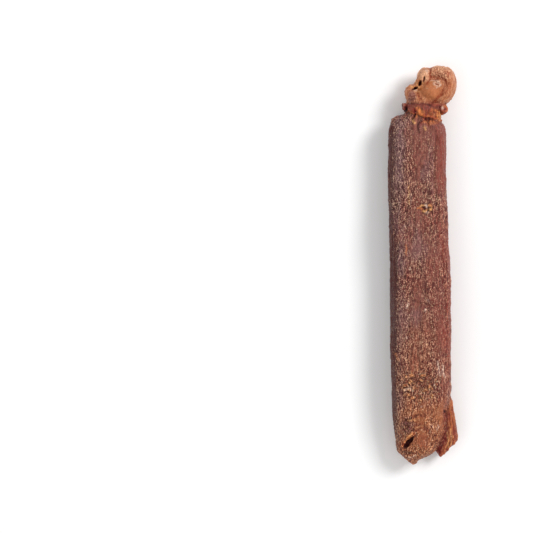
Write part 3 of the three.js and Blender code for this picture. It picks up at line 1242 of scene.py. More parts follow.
@dataclass
class Weathering:
    """The fields that move and colour the skin, worked out once at its softened points."""

    box: RootBox
    body: Body
    head: Head
    side_root: SideRoot
    hollows: tuple[Pit, ...]
    skin: Skin
    base: np.ndarray = field(init=False)
    along: np.ndarray = field(init=False)
    across: np.ndarray = field(init=False)
    up: np.ndarray = field(init=False)
    wander: np.ndarray = field(init=False)
    strayed: np.ndarray = field(init=False)
    mottle: np.ndarray = field(init=False)
    strap_at: tuple[np.ndarray, np.ndarray] = field(init=False)
    curl_at: tuple[np.ndarray, ...] = field(init=False)
    on: dict[str, np.ndarray] = field(init=False, default_factory=dict)

    def __post_init__(self) -> None:
        """Finds each point's shares of the box, and how much of it is in each region."""
        self.base = self.skin.points.copy()
        facing = self.skin.normals()
        self.along, self.across, self.up = self.box.shares(self.base)
        slow = self.stretched(6.0, 9.0)
        self.wander = np.stack([Noise(k).smooth(slow) for k in (11, 12, 13)], -1)
        quick = self.base / 1.5
        stray = np.stack([Noise(k).smooth(quick) for k in (41, 42, 43)], -1)
        self.strayed = self.base + 0.4 * stray
        self.mottle = Noise(31).layered(self.stretched(4.5, 10.0), 3)
        edge = 0.0025 * Noise(44).smooth(self.base / 0.9)
        head = smooth_step(self.along + edge, 0.9005, 0.9045)
        rim = 0.868 - 0.045 * self.across + 2.0 * edge
        above_shoulder = smooth_step(self.along - rim, 0.0, 0.003)
        above_shoulder *= smooth_step(np.abs(self.across - 0.01), 0.31, 0.26)
        t, reach, sideways = self.side_root.strap.nearness(self.box, self.base)
        outside = smooth_step(self.body.depth_inside(self.box, self.base), -0.03, -0.12)
        strap = smooth_step(reach, 1.5, 1.15) * outside * smooth_step(self.along, 0.2, 0.16)
        self.strap_at = (t, sideways)
        self.curl_at = self.head.curl.nearness(self.box, self.base)
        curl = smooth_step(self.curl_at[1], 1.3, 1.05) * smooth_step(self.curl_at[0], 0.1, 0.25)
        self.on = {
            "head": head,
            "neck": above_shoulder * (1.0 - head),
            "strap": strap,
            "body": (1.0 - above_shoulder) * (1.0 - head) * (1.0 - strap),
            "curl": curl * head,
            "top": smooth_step(facing[:, 2], 0.05, 0.4),
            "hollow": self._in_hollows(),
            "rim": bell((self.along - rim - 0.0015) / 0.0035, 1.0) * (1.0 - head),
        }
        self.on["rim"] *= smooth_step(np.abs(self.across - 0.01), 0.27, 0.22)

    def _in_hollows(self) -> np.ndarray:
        """How much each point is in one of the hollows, 0 to 1."""
        reaches = [hollow.reach(self.box, self.base) for hollow in self.hollows]
        return smooth_step(np.min(reaches, axis=0), 1.1, 0.75) * smooth_step(self.up, 0.3, 0.4)

    def stretched(self, across_mm: float, along_mm: float) -> np.ndarray:
        """The points in cells that are long along the root and narrow round it."""
        return self.base / np.array([across_mm, along_mm, across_mm])

    def covered(self, *patches: Patch) -> np.ndarray:
        """How much each point is in any of the patches, with ragged edges, on the upper side."""
        covers = [patch.cover(self.box, self.strayed) for patch in patches]
        return np.max(covers, axis=0) * self.on["top"]

    def lumps(self) -> np.ndarray:
        """Broad swellings and hollows, a centimetre or so across."""
        return 0.34 * Noise(3).layered(self.stretched(7.0, 13.0), 3)

    def furrows(self) -> np.ndarray:
        """Long furrows, deepest at the shoulders.

        Returns:
            Their height in mm: 0.36 times (crest - 0.55), and up to 2.2 times that at the shoulders.
        """
        crest = Noise(5).ridged(self.stretched(2.7, 21.0) + 0.35 * self.wander, 2)
        shoulder = 1.0 + 1.2 * bell(self.along - 0.85, 0.02)
        return 0.36 * (crest - 0.55) * shoulder

    def wrinkles(self) -> np.ndarray:
        """Fine wrinkles along the root, in stronger and weaker areas.

        Returns:
            Their height in mm: 0.38 times (crest - 0.55), times a strength of about 0.1 to 1.5.
        """
        crest = Noise(7).ridged(self.stretched(0.85, 7.0) + 0.8 * self.wander, 2)
        strength = 0.8 + 0.7 * Noise(8).smooth(self.stretched(5.0, 11.0))
        return 0.38 * (crest - 0.55) * strength

    def grain(self) -> np.ndarray:
        """Short fine grain that breaks the wrinkles up."""
        short = Noise(9).smooth(self.stretched(0.6, 0.95) + 0.5 * self.wander)
        return 0.1 * short + 0.08 * Noise(10).smooth(self.base / 0.55)

    def tangle(self) -> np.ndarray:
        """Fine ridges in every direction."""
        return 0.26 * (Noise(15).ridged(self.base / 1.1, 2) - 0.55)

    def flakes(self) -> tuple[np.ndarray, np.ndarray]:
        """Loose flakes in the rough patches.

        Returns:
            Their height in mm, and how much each point is on one, 0 to 1.
        """
        nearest, second, own = Noise(17).cells(self.strayed / np.array([1.15, 0.9, 1.15]))
        apart = smooth_step(second - nearest, 0.05, 0.3)
        plate = apart * smooth_step(own, 0.45, 0.6)
        return 0.36 * plate - 0.2 * (1.0 - apart), plate

    def pebbles(self) -> tuple[np.ndarray, np.ndarray]:
        """Pebbled skin.

        Returns:
            Its height in mm, and 0 in the gaps between pebbles to 1 on top of them.
        """
        nearest, second, _ = Noise(28).cells(self.strayed / np.array([1.0, 1.15, 1.0]))
        top = smooth_step(second - nearest, 0.0, 0.45)
        return 0.4 * (top - 0.6), top

    def folds(self) -> np.ndarray:
        """Folds that fan out from the neck over the shoulders.

        Returns:
            Their height in mm: two cosines of the angle round the root, the first bent about
            by noise, in a band below the neck.
        """
        middle = self.box.place(self.along, -0.02, 0.48)
        angle = np.arctan2(self.base[:, 2] - middle[:, 2], self.base[:, 0] - middle[:, 0])
        turn = 4.0 * Noise(19).smooth(self.base / 4.0)
        height = np.cos(17.0 * angle + turn) + 0.6 * np.cos(29.0 * angle + 1.0)
        return 0.16 * height * bell(self.along - 0.866, 0.012)

    def neck_ribs(self) -> np.ndarray:
        """Upright ribs of old fibre round the neck, over the sleeve that stands off the body.

        Returns:
            Their height in mm, more torn below than above.
        """
        crest = Noise(21).ridged(self.stretched(0.9, 4.0) + 0.3 * self.wander, 2)
        torn = Noise(22).smooth(self.base / 1.3)
        lower = smooth_step(self.along, 0.892, 0.883)
        return 0.35 + (0.24 + 0.2 * lower) * (crest - 0.5) + (0.06 + 0.2 * lower) * torn

    def granules(self) -> np.ndarray:
        """0 in the gaps between granules and 1 on top of them."""
        nearest, second, _ = Noise(26).cells(self.strayed / 0.9)
        return smooth_step(second - nearest, 0.0, 0.4)

    def curl_flow(self) -> np.ndarray:
        """Crests, 0 to 1, that run along the curl of the head."""
        t, _, sideways = self.curl_at
        return Noise(25).ridged(np.stack([sideways * 3.0, t * 5.0, self.up * 3.6], -1), 2)

    def head_skin(self) -> np.ndarray:
        """The head's own skin.

        Returns:
            Its height in mm: soft lumps all over, creases on the sides, streaks along the curl,
            and granules on its top.
        """
        soft = 0.2 * Noise(23).layered(self.base / 2.2, 2) + 0.09 * Noise(24).smooth(self.base / 0.75)
        streaks = 0.16 * (self.curl_flow() - 0.55) * self.on["curl"]
        granules = 0.24 * (self.granules() - 0.4)
        rough = self.covered(GRAINY_TOP)
        creases = Noise(48).ridged(self.base / np.array([1.5, 2.1, 1.2]) + 0.4 * self.wander, 2)
        sides = 0.4 * (creases - 0.7) * (1.0 - self.on["top"])
        return soft + sides + streaks * (1.0 - rough) + granules * rough

    def strap_flow(self) -> np.ndarray:
        """Places in cells that run down the side root."""
        t, sideways = self.strap_at
        return np.stack([sideways * 3.4, t * 4.5, self.up * 2.5], -1) + 0.3 * self.wander

    def strap_skin(self) -> np.ndarray:
        """Cords that run down the side root."""
        return 0.42 * (Noise(27).ridged(self.strap_flow(), 2) - 0.5)

    def scar_reach(self) -> np.ndarray:
        """0 at the middle of the bud scar and 1 on its ring."""
        away = self.strayed[:, :2] - self.box.place(BUD_SCAR.along, BUD_SCAR.across, 0.0)[:2]
        return np.hypot(away[:, 0] / BUD_SCAR.half_width, away[:, 1] / BUD_SCAR.half_length)

    def scar(self) -> np.ndarray:
        """The ring of the bud scar: a rim with a sunken middle."""
        reach = self.scar_reach()
        return (0.26 * bell(reach - 1.0, 0.35) - 0.3 * bell(reach, 0.5)) * self.on["top"]

    def height(self) -> np.ndarray:
        """Adds up the relief.

        Returns:
            How far every point moves out along its normal, in mm: the skin of each region, less
            the depth of every crack and streak.
        """
        tangled = self.covered(TANGLE)
        body = self.lumps() + self.furrows() + self.folds() + self.grain()
        body += (1.0 - 0.8 * tangled) * self.wrinkles() + tangled * self.tangle()
        body += self.covered(FLAKY, HAIR_SCAR) * self.flakes()[0]
        body += self.covered(PEBBLES) * self.pebbles()[0]
        height = self.on["body"] * body
        height += self.on["neck"] * (self.neck_ribs() + self.grain())
        height += self.on["head"] * (self.head_skin() + self.scar())
        height += self.on["strap"] * (self.strap_skin() + self.grain())
        broken = 0.75 + 0.6 * Noise(45).smooth(self.base / 1.2)
        for stroke in CRACKS + STREAKS:
            near = bell(stroke.distance(self.box, self.strayed), stroke.width)
            height -= stroke.depth * near * broken * self.on["top"]
        return height

    def paint(self, crest: np.ndarray) -> Paint:
        """Colours the skin.

        Args:
            crest: How far each point stands out of the skin around it, in mm.

        Returns:
            The paint, laid from the broad tones to the flecks.
        """
        paint = Paint.primed(len(self.base), Tint.BACK)
        self._paint_back(paint)
        self._paint_tail(paint)
        self._paint_neck(paint)
        self._paint_head(paint)
        self._paint_side_root(paint)
        self._paint_marks(paint)
        self._paint_relief_light_and_shade(paint, crest)
        return paint

    def _paint_back(self, paint: Paint) -> None:
        """Greys the body's left, warms its right, and draws its veins and fine lines.

        Args:
            paint: The paint, which is changed.
        """
        veins = Noise(32).ridged(self.stretched(1.3, 9.0) + 0.3 * self.wander, 2)
        lines = Noise(35).ridged(self.stretched(0.75, 16.0) + 0.3 * self.wander, 2)
        left_band = bell(self.across + 0.35, 0.08)
        right = smooth_step(self.across, 0.02, 0.22)
        paint.coat(Tint.BACK_GREY, 0.95 * left_band * (0.85 + 0.4 * self.mottle))
        paint.coat(Tint.BACK_GREY, 0.5 * smooth_step(self.mottle, 0.1, 0.6))
        paint.coat(Tint.BACK_WARM, 0.75 * smooth_step(self.across, 0.1, 0.34))
        paint.coat(Tint.BACK_WARM, 0.6 * smooth_step(self.mottle, -0.05, -0.5))
        paint.coat(Tint.BACK_DEEP, 0.6 * smooth_step(veins, 0.7, 0.97))
        paint.coat(Tint.GROOVE_RED, 0.65 * right * smooth_step(lines, 0.72, 0.95))
        paint.coat(Tint.BACK_GREY, 0.5 * right * smooth_step(lines, 0.35, 0.1))

    def _paint_tail(self, paint: Paint) -> None:
        """Turns the skin amber towards the tail, and paints shade down the left flank.

        Args:
            paint: The paint, which is changed.
        """
        right = smooth_step(self.across, 0.02, 0.22)
        pebbled, pebble = self.covered(PEBBLES), self.pebbles()[1]
        flank = 0.06 * smooth_step(self.along, 0.7, 0.5) - self.across
        paint.coat(Tint.TAIL, 0.9 * smooth_step(self.along + 0.03 * self.mottle, 0.19, 0.1))
        paint.coat(Tint.TAIL, 0.35 * smooth_step(self.along, 0.42, 0.25) * (1.0 - 0.7 * right))
        paint.coat(Tint.TAIL_ROSE, 0.85 * self.covered(KNOB))
        paint.coat(Tint.BACK_GREY, 0.7 * pebbled * pebble)
        paint.coat(Tint.BACK_DEEP, 0.7 * pebbled * (1.0 - pebble))
        # Painted shade, darker towards the left flank.
        paint.coat(Tint.FLANK_SHADE, 0.9 * smooth_step(flank, 0.38, 0.475) * self.on["body"])

    def _paint_neck(self, paint: Paint) -> None:
        """Browns the neck, with golden fibre where its bark has torn, down to the shoulders.

        Args:
            paint: The paint, which is changed.
        """
        neck = self.on["neck"]
        fibres = Noise(33).layered(self.stretched(1.0, 2.6), 2)
        fine = Noise(34).layered(self.stretched(0.6, 1.5) + 0.4 * self.wander, 2)
        low_neck = smooth_step(self.along + 0.005 * fibres, 0.888, 0.8815)
        fringe = bell(self.across + 0.07, 0.065) + bell(self.across - 0.2, 0.075)
        fringe *= low_neck * neck
        paint.coat(Tint.NECK, neck)
        paint.coat(Tint.NECK_LOW, neck * low_neck)
        paint.coat(Tint.FIBRE, (0.1 * neck + 0.75 * fringe) * smooth_step(fibres, -0.2, 0.4))
        paint.coat(Tint.GOLD, 0.8 * fringe * smooth_step(fine, 0.25, 0.6))
        paint.coat(Tint.STRAP_DEEP, 0.7 * neck * low_neck * smooth_step(fine, -0.2, -0.55))
        paint.coat(Tint.FIBRE, 0.5 * self.on["rim"] * smooth_step(fibres, -0.1, 0.4))
        paint.coat(Tint.FIBRE, 0.45 * self.on["body"] * self.covered(SHOULDER_FOLDS))

    def _paint_head(self, paint: Paint) -> None:
        """Lays the head's golden skin, its pale top and curl, and its bud scar.

        Args:
            paint: The paint, which is changed.
        """
        head, curl, top = (self.on[name] for name in ("head", "curl", "top"))
        pale = smooth_step(self.along, 0.955, 0.98) * (0.7 + 0.5 * self.mottle)
        flow = self.curl_flow()
        grainy, granules = self.covered(GRAINY_TOP), self.granules()
        scar = self.scar_reach()
        broken = 0.55 + 0.9 * Noise(46).smooth(self.base / 0.8)
        paint.coat(Tint.HEAD, head)
        paint.coat(Tint.HEAD_PALE, head * pale)
        paint.coat(Tint.BULGE, 0.9 * head * self.covered(FRONT_BULGE))
        paint.coat(Tint.MAUVE, 0.9 * head * self.covered(LOWER_LOBE))
        paint.coat(Tint.NECK, 0.4 * head * smooth_step(self.along, 0.914, 0.903))
        paint.coat(Tint.FIBRE, 0.6 * head * self.covered(SLIT_ZONE))
        paint.coat(Tint.HEAD_PALE, 0.35 * curl * smooth_step(flow, 0.62, 0.85))
        paint.coat(Tint.BULGE, 0.7 * curl * smooth_step(flow, 0.6, 0.3))
        paint.coat(Tint.EMBER, 0.45 * curl * smooth_step(flow, 0.4, 0.15))
        paint.coat(Tint.HEAD_PALE, 0.75 * head * self.covered(UPPER_LOBE))
        paint.coat(Tint.HEAD_PALE, 0.9 * grainy * smooth_step(granules, 0.25, 0.7))
        paint.coat(Tint.EMBER, 0.65 * grainy * smooth_step(granules, 0.4, 0.05))
        paint.coat(Tint.PALE, broken * head * bell(scar - 1.1, 0.4) * top)
        paint.coat(Tint.GROOVE_RED, 0.8 * head * bell(scar, 0.5) * top)

    def _paint_side_root(self, paint: Paint) -> None:
        """Lays the side root's cords, dark between them and gold on their crests, and paints shade
        beside the body.

        Args:
            paint: The paint, which is changed.
        """
        strap = self.on["strap"]
        cords = Noise(27).ridged(self.strap_flow(), 2)
        paint.coat(Tint.STRAP, strap)
        paint.coat(Tint.STRAP_DEEP, 0.75 * strap * smooth_step(cords, 0.7, 0.4))
        paint.coat(Tint.GOLD, 0.5 * strap * smooth_step(cords, 0.85, 0.97))
        # Painted shade on the side of the side root that lies against the body.
        paint.coat(Tint.STRAP_DEEP, 0.85 * strap * smooth_step(self.strap_at[1], 0.05, -0.5))

    def _paint_marks(self, paint: Paint) -> None:
        """Lays the flakes, every crack and streak, and painted shade in the hollows.

        Args:
            paint: The paint, which is changed.
        """
        rough = self.covered(FLAKY, HAIR_SCAR)
        paint.coat(Tint.BACK_DEEP, 0.25 * rough)
        paint.coat(Tint.FLAKE, 0.95 * rough * self.flakes()[1])
        worn = 0.9 + 0.6 * Noise(47).smooth(self.base / 0.65)
        for stroke in CRACKS + STREAKS:
            near = bell(stroke.distance(self.box, self.strayed), 1.2 * stroke.width)
            paint.coat(stroke.tint, stroke.cover * near * worn * self.on["top"])
        # Painted shade in the hollows, where little light gets in.
        paint.coat(Tint.HOLLOW_SHADE, 1.1 * self.on["hollow"])

    def _paint_relief_light_and_shade(self, paint: Paint, crest: np.ndarray) -> None:
        """Reddens the grooves, partly as painted shade, and paints light on what stands out and shade
        on the rest.

        Args:
            paint: The paint, which is changed.
            crest: How far each point stands out of the skin around it, in mm.
        """
        body, head, strap = (self.on[name] for name in ("body", "head", "strap"))
        deep = smooth_step(crest, -0.03, -0.14)
        # Painted shade in the creases, red like the grooves.
        paint.coat(Tint.GROOVE_RED, 0.5 * deep * (strap + 0.4 * body))
        paint.coat(Tint.EMBER, 0.5 * deep * head)
        # Painted light on what stands out and painted shade in what sinks.
        paint.shade(np.clip(1.0 + (4.0 - 2.4 * head) * crest, 0.4 + 0.42 * head, 1.5))

    def grit(self) -> np.ndarray:
        """Finds how strongly the finest grain shows.

        Returns:
            About 0 to 1 at each point: most on the left of the body, and least on the waxy
            bulge, the knob and the side root.
        """
        zone = 0.62 + 0.6 * Noise(37).layered(self.stretched(3.5, 9.0), 2)
        zone += 0.35 * bell(self.across + 0.33, 0.12) + 0.4 * bell(self.along - 0.66, 0.04)
        zone += 0.25 * smooth_step(self.along, 0.5, 0.2) - 0.12 * smooth_step(self.across, 0.1, 0.3)
        zone += 0.1 * smooth_step(self.along, 0.14, 0.1) - 0.55 * self.covered(KNOB)
        zone -= 0.3 * smooth_step(self.along, 0.69, 0.76) * smooth_step(self.across, -0.2, 0.0)
        zone -= 0.2 * smooth_step(self.along, 0.78, 0.84)
        zone -= 0.5 * self.on["strap"]
        zone -= 0.3 * self.on["neck"]
        body = np.clip(zone, 0.15, 1.0)
        head = 0.5 - 0.25 * self.on["curl"] - 0.4 * self.covered(FRONT_BULGE)
        head += 0.1 * self.covered(GRAINY_TOP)
        clean = (1.0 - self.on["hollow"]) * (1.0 - 0.6 * self.covered(HAIR_SCAR))
        return (body + self.on["head"] * (head - body)) * clean

    def dust(self) -> np.ndarray:
        """Finds how many pale flecks there are.

        Returns:
            At most 1 at each point: most in drifts on the body, and none in the hollows.
        """
        drift = smooth_step(Noise(36).layered(self.stretched(5.0, 7.0), 2), -0.1, 0.6)
        gold_band = bell(self.along - 0.66, 0.05) * smooth_step(self.across, 0.3, 0.1)
        flaky = 0.25 * self.covered(FLAKY)
        amount = np.clip(0.12 + 0.35 * drift + 0.4 * gold_band + flaky, 0.0, 1.0)
        return amount * self.on["body"] - 1.2 * self.on["hollow"] - self.covered(HAIR_SCAR)


# ---------------------------------------------------------------------------------------------
# The finish


Fed = bpy.types.NodeSocket | float | tuple[float, ...]


@dataclass(frozen=True)
class Wiring:
    """A material's node tree, and the kinds of node that a skin needs."""

    tree: bpy.types.NodeTree
    noise_roughness: float = 0.6

    def feed(self, node: bpy.types.Node, fed: dict[int | str, Fed]) -> None:
        """Feeds some of a node's inputs.

        Args:
            node: The node.
            fed: For each input, the socket it is linked to or its constant.
        """
        for name, value in fed.items():
            if isinstance(value, bpy.types.NodeSocket):
                self.tree.links.new(value, node.inputs[name])
            else:
                node.inputs[name].default_value = value

    def node(self, kind: str, fed: dict[int | str, Fed]) -> bpy.types.Node:
        """Makes a node.

        Args:
            kind: What Blender calls nodes of its kind.
            fed: For each input, the socket it is linked to or its constant.

        Returns:
            The node.
        """
        made = self.tree.nodes.new(kind)
        self.feed(made, fed)
        return made

    def attribute(self, name: str, output: str) -> bpy.types.NodeSocket:
        """Reads one of the values that the skin stores at its points.

        Args:
            name: What it is stored as.
            output: Color for a colour, and Fac for a number.

        Returns:
            The value.
        """
        node = self.tree.nodes.new("ShaderNodeAttribute")
        node.attribute_name = name
        return node.outputs[output]

    def noise(self, scale: float, stretch: float = 1.0, detail: float = 3.0) -> bpy.types.NodeSocket:
        """A noise texture in the root's own space.

        Args:
            scale: How many of its cells there are to a metre.
            stretch: What lengths along the root are multiplied by, to draw the pattern out.
            detail: How many finer layers it has.

        Returns:
            The noise, near 0.5 on average.
        """
        place = self.node("ShaderNodeTexCoord", {}).outputs["Object"]
        drawn = self.node("ShaderNodeMapping", {"Vector": place, "Scale": (1.0, stretch, 1.0)})
        noise = self.node(
            "ShaderNodeTexNoise",
            {
                "Vector": drawn.outputs["Vector"],
                "Scale": scale,
                "Detail": detail,
                "Roughness": self.noise_roughness,
            },
        )
        return noise.outputs["Fac"]

    def add(self, one: Fed, two: Fed, shares: tuple[float, float]) -> bpy.types.NodeSocket:
        """Adds two values.

        Args:
            one: The first value.
            two: The second value.
            shares: What each is multiplied by.

        Returns:
            shares[0] * one + shares[1] * two.
        """
        first = self.node("ShaderNodeMath", {0: one, 1: shares[0]})
        first.operation = "MULTIPLY"
        both = self.node("ShaderNodeMath", {0: two, 1: shares[1], 2: first.outputs[0]})
        both.operation = "MULTIPLY_ADD"
        return both.outputs[0]

    def rescale(
        self,
        value: bpy.types.NodeSocket,
        taken: tuple[float, float],
        given: tuple[float, float] = (0.0, 1.0),
    ) -> bpy.types.NodeSocket:
        """Maps a value evenly from one range to another.

        Args:
            value: The value.
            taken: The range it comes from.
            given: The range it goes to.

        Returns:
            The mapped value, clamped to the given range.
        """
        fed = dict(zip(("From Min", "From Max", "To Min", "To Max"), taken + given))
        return self.node("ShaderNodeMapRange", {"Value": value, **fed}).outputs["Result"]

    def times(
        self,
        colour: bpy.types.NodeSocket,
        factors: tuple[float, float, float],
        added: tuple[float, float, float] = (0.0, 0.0, 0.0),
    ) -> bpy.types.NodeSocket:
        """Changes a colour channel by channel.

        Args:
            colour: The colour.
            factors: What each channel is multiplied by.
            added: What is then added to each channel.

        Returns:
            colour * factors + added.
        """
        node = self.node("ShaderNodeVectorMath", {})
        node.operation = "MULTIPLY_ADD"
        self.feed(node, {0: colour, 1: factors, 2: added})
        return node.outputs["Vector"]

    def blend(self, share: Fed, one: Fed, two: Fed) -> bpy.types.NodeSocket:
        """Mixes two colours evenly.

        Args:
            share: How much of the second there is, 0 to 1.
            one: The first colour.
            two: The second colour.

        Returns:
            The mixed colour.
        """
        node = self.tree.nodes.new("ShaderNodeMix")
        node.data_type = "RGBA"
        self.feed(node, {0: share, 6: one, 7: two})
        return node.outputs[2]


@dataclass(frozen=True)
class SkinFinish:
    """Dry, waxy root skin: the stored tint, broken up by a fine grain that is pale on its crests,
    partly the skin's own speckle and partly painted glints.
    """

    roughness: float = 0.42
    roughness_spread: float = 0.16
    roughness_taken: tuple[float, float] = (0.35, 0.65)
    gloss: float = 0.25
    bump_height: float = 0.0005  # m
    grain_per_metre: float = 3600.0
    speck_per_metre: float = 3600.0 * 1.15
    fleck_per_metre: float = 2300.0
    streak_stretch: float = 0.23
    speck_stretch: float = 0.7
    grain_mix: tuple[float, float] = (0.7, 0.3)  # of streaks and specks
    spot_mix: tuple[float, float] = (0.42, 0.58)
    fleck_mix: tuple[float, float] = (1.0, 0.09)  # of noise and dust
    rise: tuple[float, float] = (0.435, 0.54)
    peak: tuple[float, float] = (0.53, 0.62)
    fleck_rise: tuple[float, float] = (0.67, 0.74)
    fleck_cover: float = 0.8
    in_grain: tuple[float, float, float] = (0.28, 0.04, 0.07)
    on_grain: tuple[float, float, float] = (1.18, 1.14, 1.17)
    crest: tuple[float, float, float] = (1.2, 1.2, 1.2)
    crest_pale_and_glint: tuple[float, float, float] = (0.62, 0.43, 0.27)
    fleck: tuple[float, float, float, float] = (0.66, 0.44, 0.27, 1.0)

    def material(self, name: str) -> bpy.types.Material:
        """Builds the node tree.

        Args:
            name: The material's name.

        Returns:
            A material whose colour runs from skin_tint times in_grain to times on_grain as its
            grain rises, and then to skin_tint times crest plus crest_pale_and_glint. Flecks lie on it
            where a second noise is high.
        """
        made = bpy.data.materials.new(name)
        made.use_nodes = True
        shader = made.node_tree.nodes["Principled BSDF"]
        shader.inputs["Specular IOR Level"].default_value = self.gloss
        wiring = Wiring(made.node_tree)
        streak = wiring.noise(self.grain_per_metre, self.streak_stretch)
        speck = wiring.noise(self.speck_per_metre, self.speck_stretch)
        grain = wiring.add(streak, speck, self.grain_mix)
        spots = wiring.add(streak, speck, self.spot_mix)
        tint = wiring.attribute("skin_tint", "Color")
        grit = wiring.attribute("grit", "Fac")
        dust = wiring.attribute("dust", "Fac")

        contrast = wiring.node("ShaderNodeMix", {0: grit, 2: 1.0, 3: wiring.rescale(grain, self.rise)})
        skin = wiring.blend(
            contrast.outputs[0],
            wiring.times(tint, self.in_grain),
            wiring.times(tint, self.on_grain),
        )
        shown = wiring.node("ShaderNodeMath", {0: wiring.rescale(spots, self.peak), 1: grit})
        shown.operation = "MULTIPLY"
        # Pale grain crests: partly the skin's own speckle, partly painted glints.
        pale = wiring.times(tint, self.crest, self.crest_pale_and_glint)
        crested = wiring.blend(shown.outputs[0], skin, pale)
        amount = wiring.add(wiring.noise(self.fleck_per_metre, detail=2.0), dust, self.fleck_mix)
        cover = wiring.rescale(amount, self.fleck_rise, (0.0, self.fleck_cover))
        flecked = wiring.blend(cover, crested, self.fleck)

        low = self.roughness - self.roughness_spread
        high = self.roughness + self.roughness_spread
        bump = wiring.node("ShaderNodeBump", {"Distance": self.bump_height, "Height": grain})
        bump.inputs["Strength"].default_value = 1.0
        wiring.feed(
            shader,
            {
                "Base Color": flecked,
                "Roughness": wiring.rescale(speck, self.roughness_taken, (high, low)),
                "Normal": bump.outputs["Normal"],
            },
        )
        return made


# ---------------------------------------------------------------------------------------------
# The whole root


@dataclass
class GinsengRoot:
    """The root: its parts, joined, weathered and finished as one piece."""

    box: RootBox
    body: Body = Body()
    neck: Neck = Neck()
    head: Head = Head()
    side_root: SideRoot = SideRoot()
    tail: Tail = Tail()
    finish: SkinFinish = SkinFinish()
    join_cell: float = 0.24  # mm, while the parts are joined and cut
    skin_cell: float = 0.272  # mm, in the finished skin
    # Rounds of softening: everywhere, under the neck, along the side root, and at the end.
    softening: int = 8
    neck_softening: int = 16
    groove_softening: int = 40
    last_softening: int = 2
    crest_rounds: int = 8

    def build(self) -> bpy.types.Object:
        """Makes the root and hands it to the frame.

        Returns:
            The finished piece, riding on the root body in place of the solid model's node.
        """
        piece = self._joined()
        skin = Skin(piece.data)
        weathering = Weathering(self.box, self.body, self.head, self.side_root, self.hollows, skin)
        skin.push(weathering.height())
        skin.rest_on_surface(self.box)
        skin.fit(self.box)
        crest = self._crest(skin)
        log.info("%s: %d points, crests %.3f mm", piece.name, len(skin.points), crest.std())
        paint = weathering.paint(crest)
        skin.store("skin_tint", paint.colour)
        skin.store("grit", weathering.grit() * smooth_step(paint.brightness(), 0.01, 0.06))
        skin.store("dust", weathering.dust())
        skin.write()
        piece.data.polygons.foreach_set("use_smooth", np.ones(len(piece.data.polygons), bool))
        piece.data.materials.append(self.finish.material("dried_root_skin"))
        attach(piece, BODY_NAME)
        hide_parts(NODE)
        return piece

    @property
    def hollows(self) -> tuple[Pit, ...]:
        """Every hollow, from head to tail, each sunk and given painted shade."""
        return (*self.head.hollows, self.neck.hollow, self.side_root.armpit, self.tail.split)

    def _crest(self, skin: Skin) -> np.ndarray:
        """How far each point stands out of the skin around it, along its normal, in mm."""
        around = skin.averaged(skin.points, self.crest_rounds)
        return ((skin.points - around) * skin.normals()).sum(1)

    def _joined(self) -> bpy.types.Object:
        """Joins all the parts into one, and sinks the hollows in it.

        Returns:
            The piece, one closed mesh of even cells, softened at its joints.
        """
        parts = [
            self.body.shell(self.box),
            *self.neck.shells(self.box),
            *self.head.shells(self.box),
            *self.tail.shells(self.box),
            self.side_root.shell(self.box),
        ]
        piece = Shell.together(parts).to_object("ginseng_root_skin")
        self._remesh(piece, self.join_cell)
        skin = Skin(piece.data)
        self._soften(skin)
        upper = smooth_step(skin.normals()[:, 2], -0.1, 0.2)
        for hollow in self.hollows:
            skin.points[:, 2] -= upper * hollow.drop(self.box, skin.points)
        skin.write()
        self._remesh(piece, self.skin_cell)
        skin = Skin(piece.data)
        skin.soften(self.last_softening)
        skin.write()
        return piece

    def _soften(self, skin: Skin) -> None:
        """Rounds the joints: everywhere, and more under the neck and along the side root.

        Args:
            skin: The skin, which is changed.
        """
        along = self.box.shares(skin.points)[0]
        skin.soften(self.softening)
        skin.soften(self.neck_softening, 0.5 * bell(along - 0.875, 0.01))
        near_groove = bell(STRAP_GROOVE.distance(self.box, skin.points), 1.1)
        skin.soften(self.groove_softening, near_groove)

    @staticmethod
    def _remesh(piece: bpy.types.Object, cell_mm: float) -> None:
        """Rebuilds a piece's mesh as one closed skin of even cells.

        Args:
            piece: The piece, whose mesh is swapped for the new one.
            cell_mm: How wide a cell is, in mm.
        """
        remesh = piece.modifiers.new("remesh", "REMESH")
        remesh.mode = "VOXEL"
        remesh.voxel_size = cell_mm * MM
        remesh.adaptivity = 0.0
        graph = bpy.context.evaluated_depsgraph_get()
        made = bpy.data.meshes.new_from_object(piece.evaluated_get(graph))
        piece.modifiers.remove(remesh)
        piece.data = made


# ---------------------------------------------------------------------------------------------
# The studio


@dataclass(frozen=True)
class Lamp:
    """A square soft light that faces the root, with its place and side in metres."""

    name: str
    place: tuple[float, float, float]
    side: float
    power: float

    def build(self) -> None:
        """Puts the light in the scene."""
        data = bpy.data.lights.new(self.name, "AREA")
        data.shape = "SQUARE"
        data.size = self.side
        data.energy = self.power
        light = bpy.data.objects.new(self.name, data)
        light.location = self.place
        light.rotation_euler = Vector(self.place).to_track_quat("Z", "Y").to_euler()
        bpy.context.scene.collection.objects.link(light)


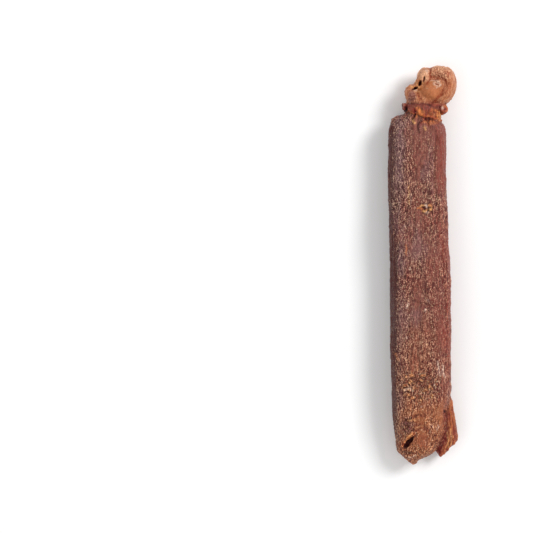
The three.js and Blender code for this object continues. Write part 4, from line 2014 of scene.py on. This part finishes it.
@dataclass(frozen=True)
class Studio:
    """A plain pale floor, plain soft light, and a camera that looks straight down."""

    box: RootBox
    view_width: float = 153.2  # mm seen across the picture
    camera_height: float = 1.15  # m
    off_centre: tuple[float, float] = (-45.0, -0.36)  # mm from the root to the camera's axis
    floor_half: float = 3.0  # m
    paper: tuple[float, float, float, float] = (0.95, 0.95, 0.95, 1.0)
    sky: float = 0.66
    lamps: tuple[Lamp, ...] = (
        Lamp("key", (0.75, 0.45, 0.9), side=0.45, power=9.7),
        Lamp("fill", (-0.7, -0.5, 0.9), side=0.9, power=2.0),
    )

    def build(self) -> None:
        """Makes the floor, the lights, the sky and the camera."""
        self._floor()
        for lamp in self.lamps:
            lamp.build()
        self._sky()
        self._camera()

    def _floor(self) -> None:
        """A large pale square just under the root."""
        half = self.floor_half
        corners = [(-half, -half, 0.0), (half, -half, 0.0), (half, half, 0.0), (-half, half, 0.0)]
        mesh = bpy.data.meshes.new("floor")
        mesh.from_pydata(corners, [], [(0, 1, 2, 3)])
        floor = bpy.data.objects.new("floor", mesh)
        bpy.context.scene.collection.objects.link(floor)
        paper = bpy.data.materials.new("floor_paper")
        paper.use_nodes = True
        shader = paper.node_tree.nodes["Principled BSDF"]
        shader.inputs["Base Color"].default_value = self.paper
        shader.inputs["Roughness"].default_value = 0.9
        shader.inputs["Specular IOR Level"].default_value = 0.1
        floor.data.materials.append(paper)

    def _sky(self) -> None:
        """An even white surround."""
        world = bpy.data.worlds.new("surround")
        world.use_nodes = True
        background = world.node_tree.nodes["Background"]
        background.inputs["Color"].default_value = (1.0, 1.0, 1.0, 1.0)
        background.inputs["Strength"].default_value = self.sky
        bpy.context.scene.world = world

    def _camera(self) -> None:
        """The camera: its lens shows view_width mm at the height of the root's middle."""
        data = bpy.data.cameras.new("camera")
        middle = self.box.low + self.box.size / 2.0
        reach = self.camera_height - middle[2] * MM
        data.lens = data.sensor_width * reach / (self.view_width * MM)
        camera = bpy.data.objects.new("camera", data)
        aim = middle[:2] + np.array(self.off_centre)
        camera.location = (aim[0] * MM, aim[1] * MM, self.camera_height)
        bpy.context.scene.collection.objects.link(camera)
        bpy.context.scene.camera = camera


def main() -> None:
    """Builds the root and the studio round it, and reports what was made."""
    logging.basicConfig(level=logging.INFO, format="%(name)s: %(message)s")
    bpy.context.scene.view_settings.view_transform = "Standard"
    box = RootBox.of_node(NODE)
    root = GinsengRoot(box).build()
    log.info("%s: %d faces", root.name, len(root.data.polygons))
    Studio(box).build()


if __name__ == "__main__":
    main()
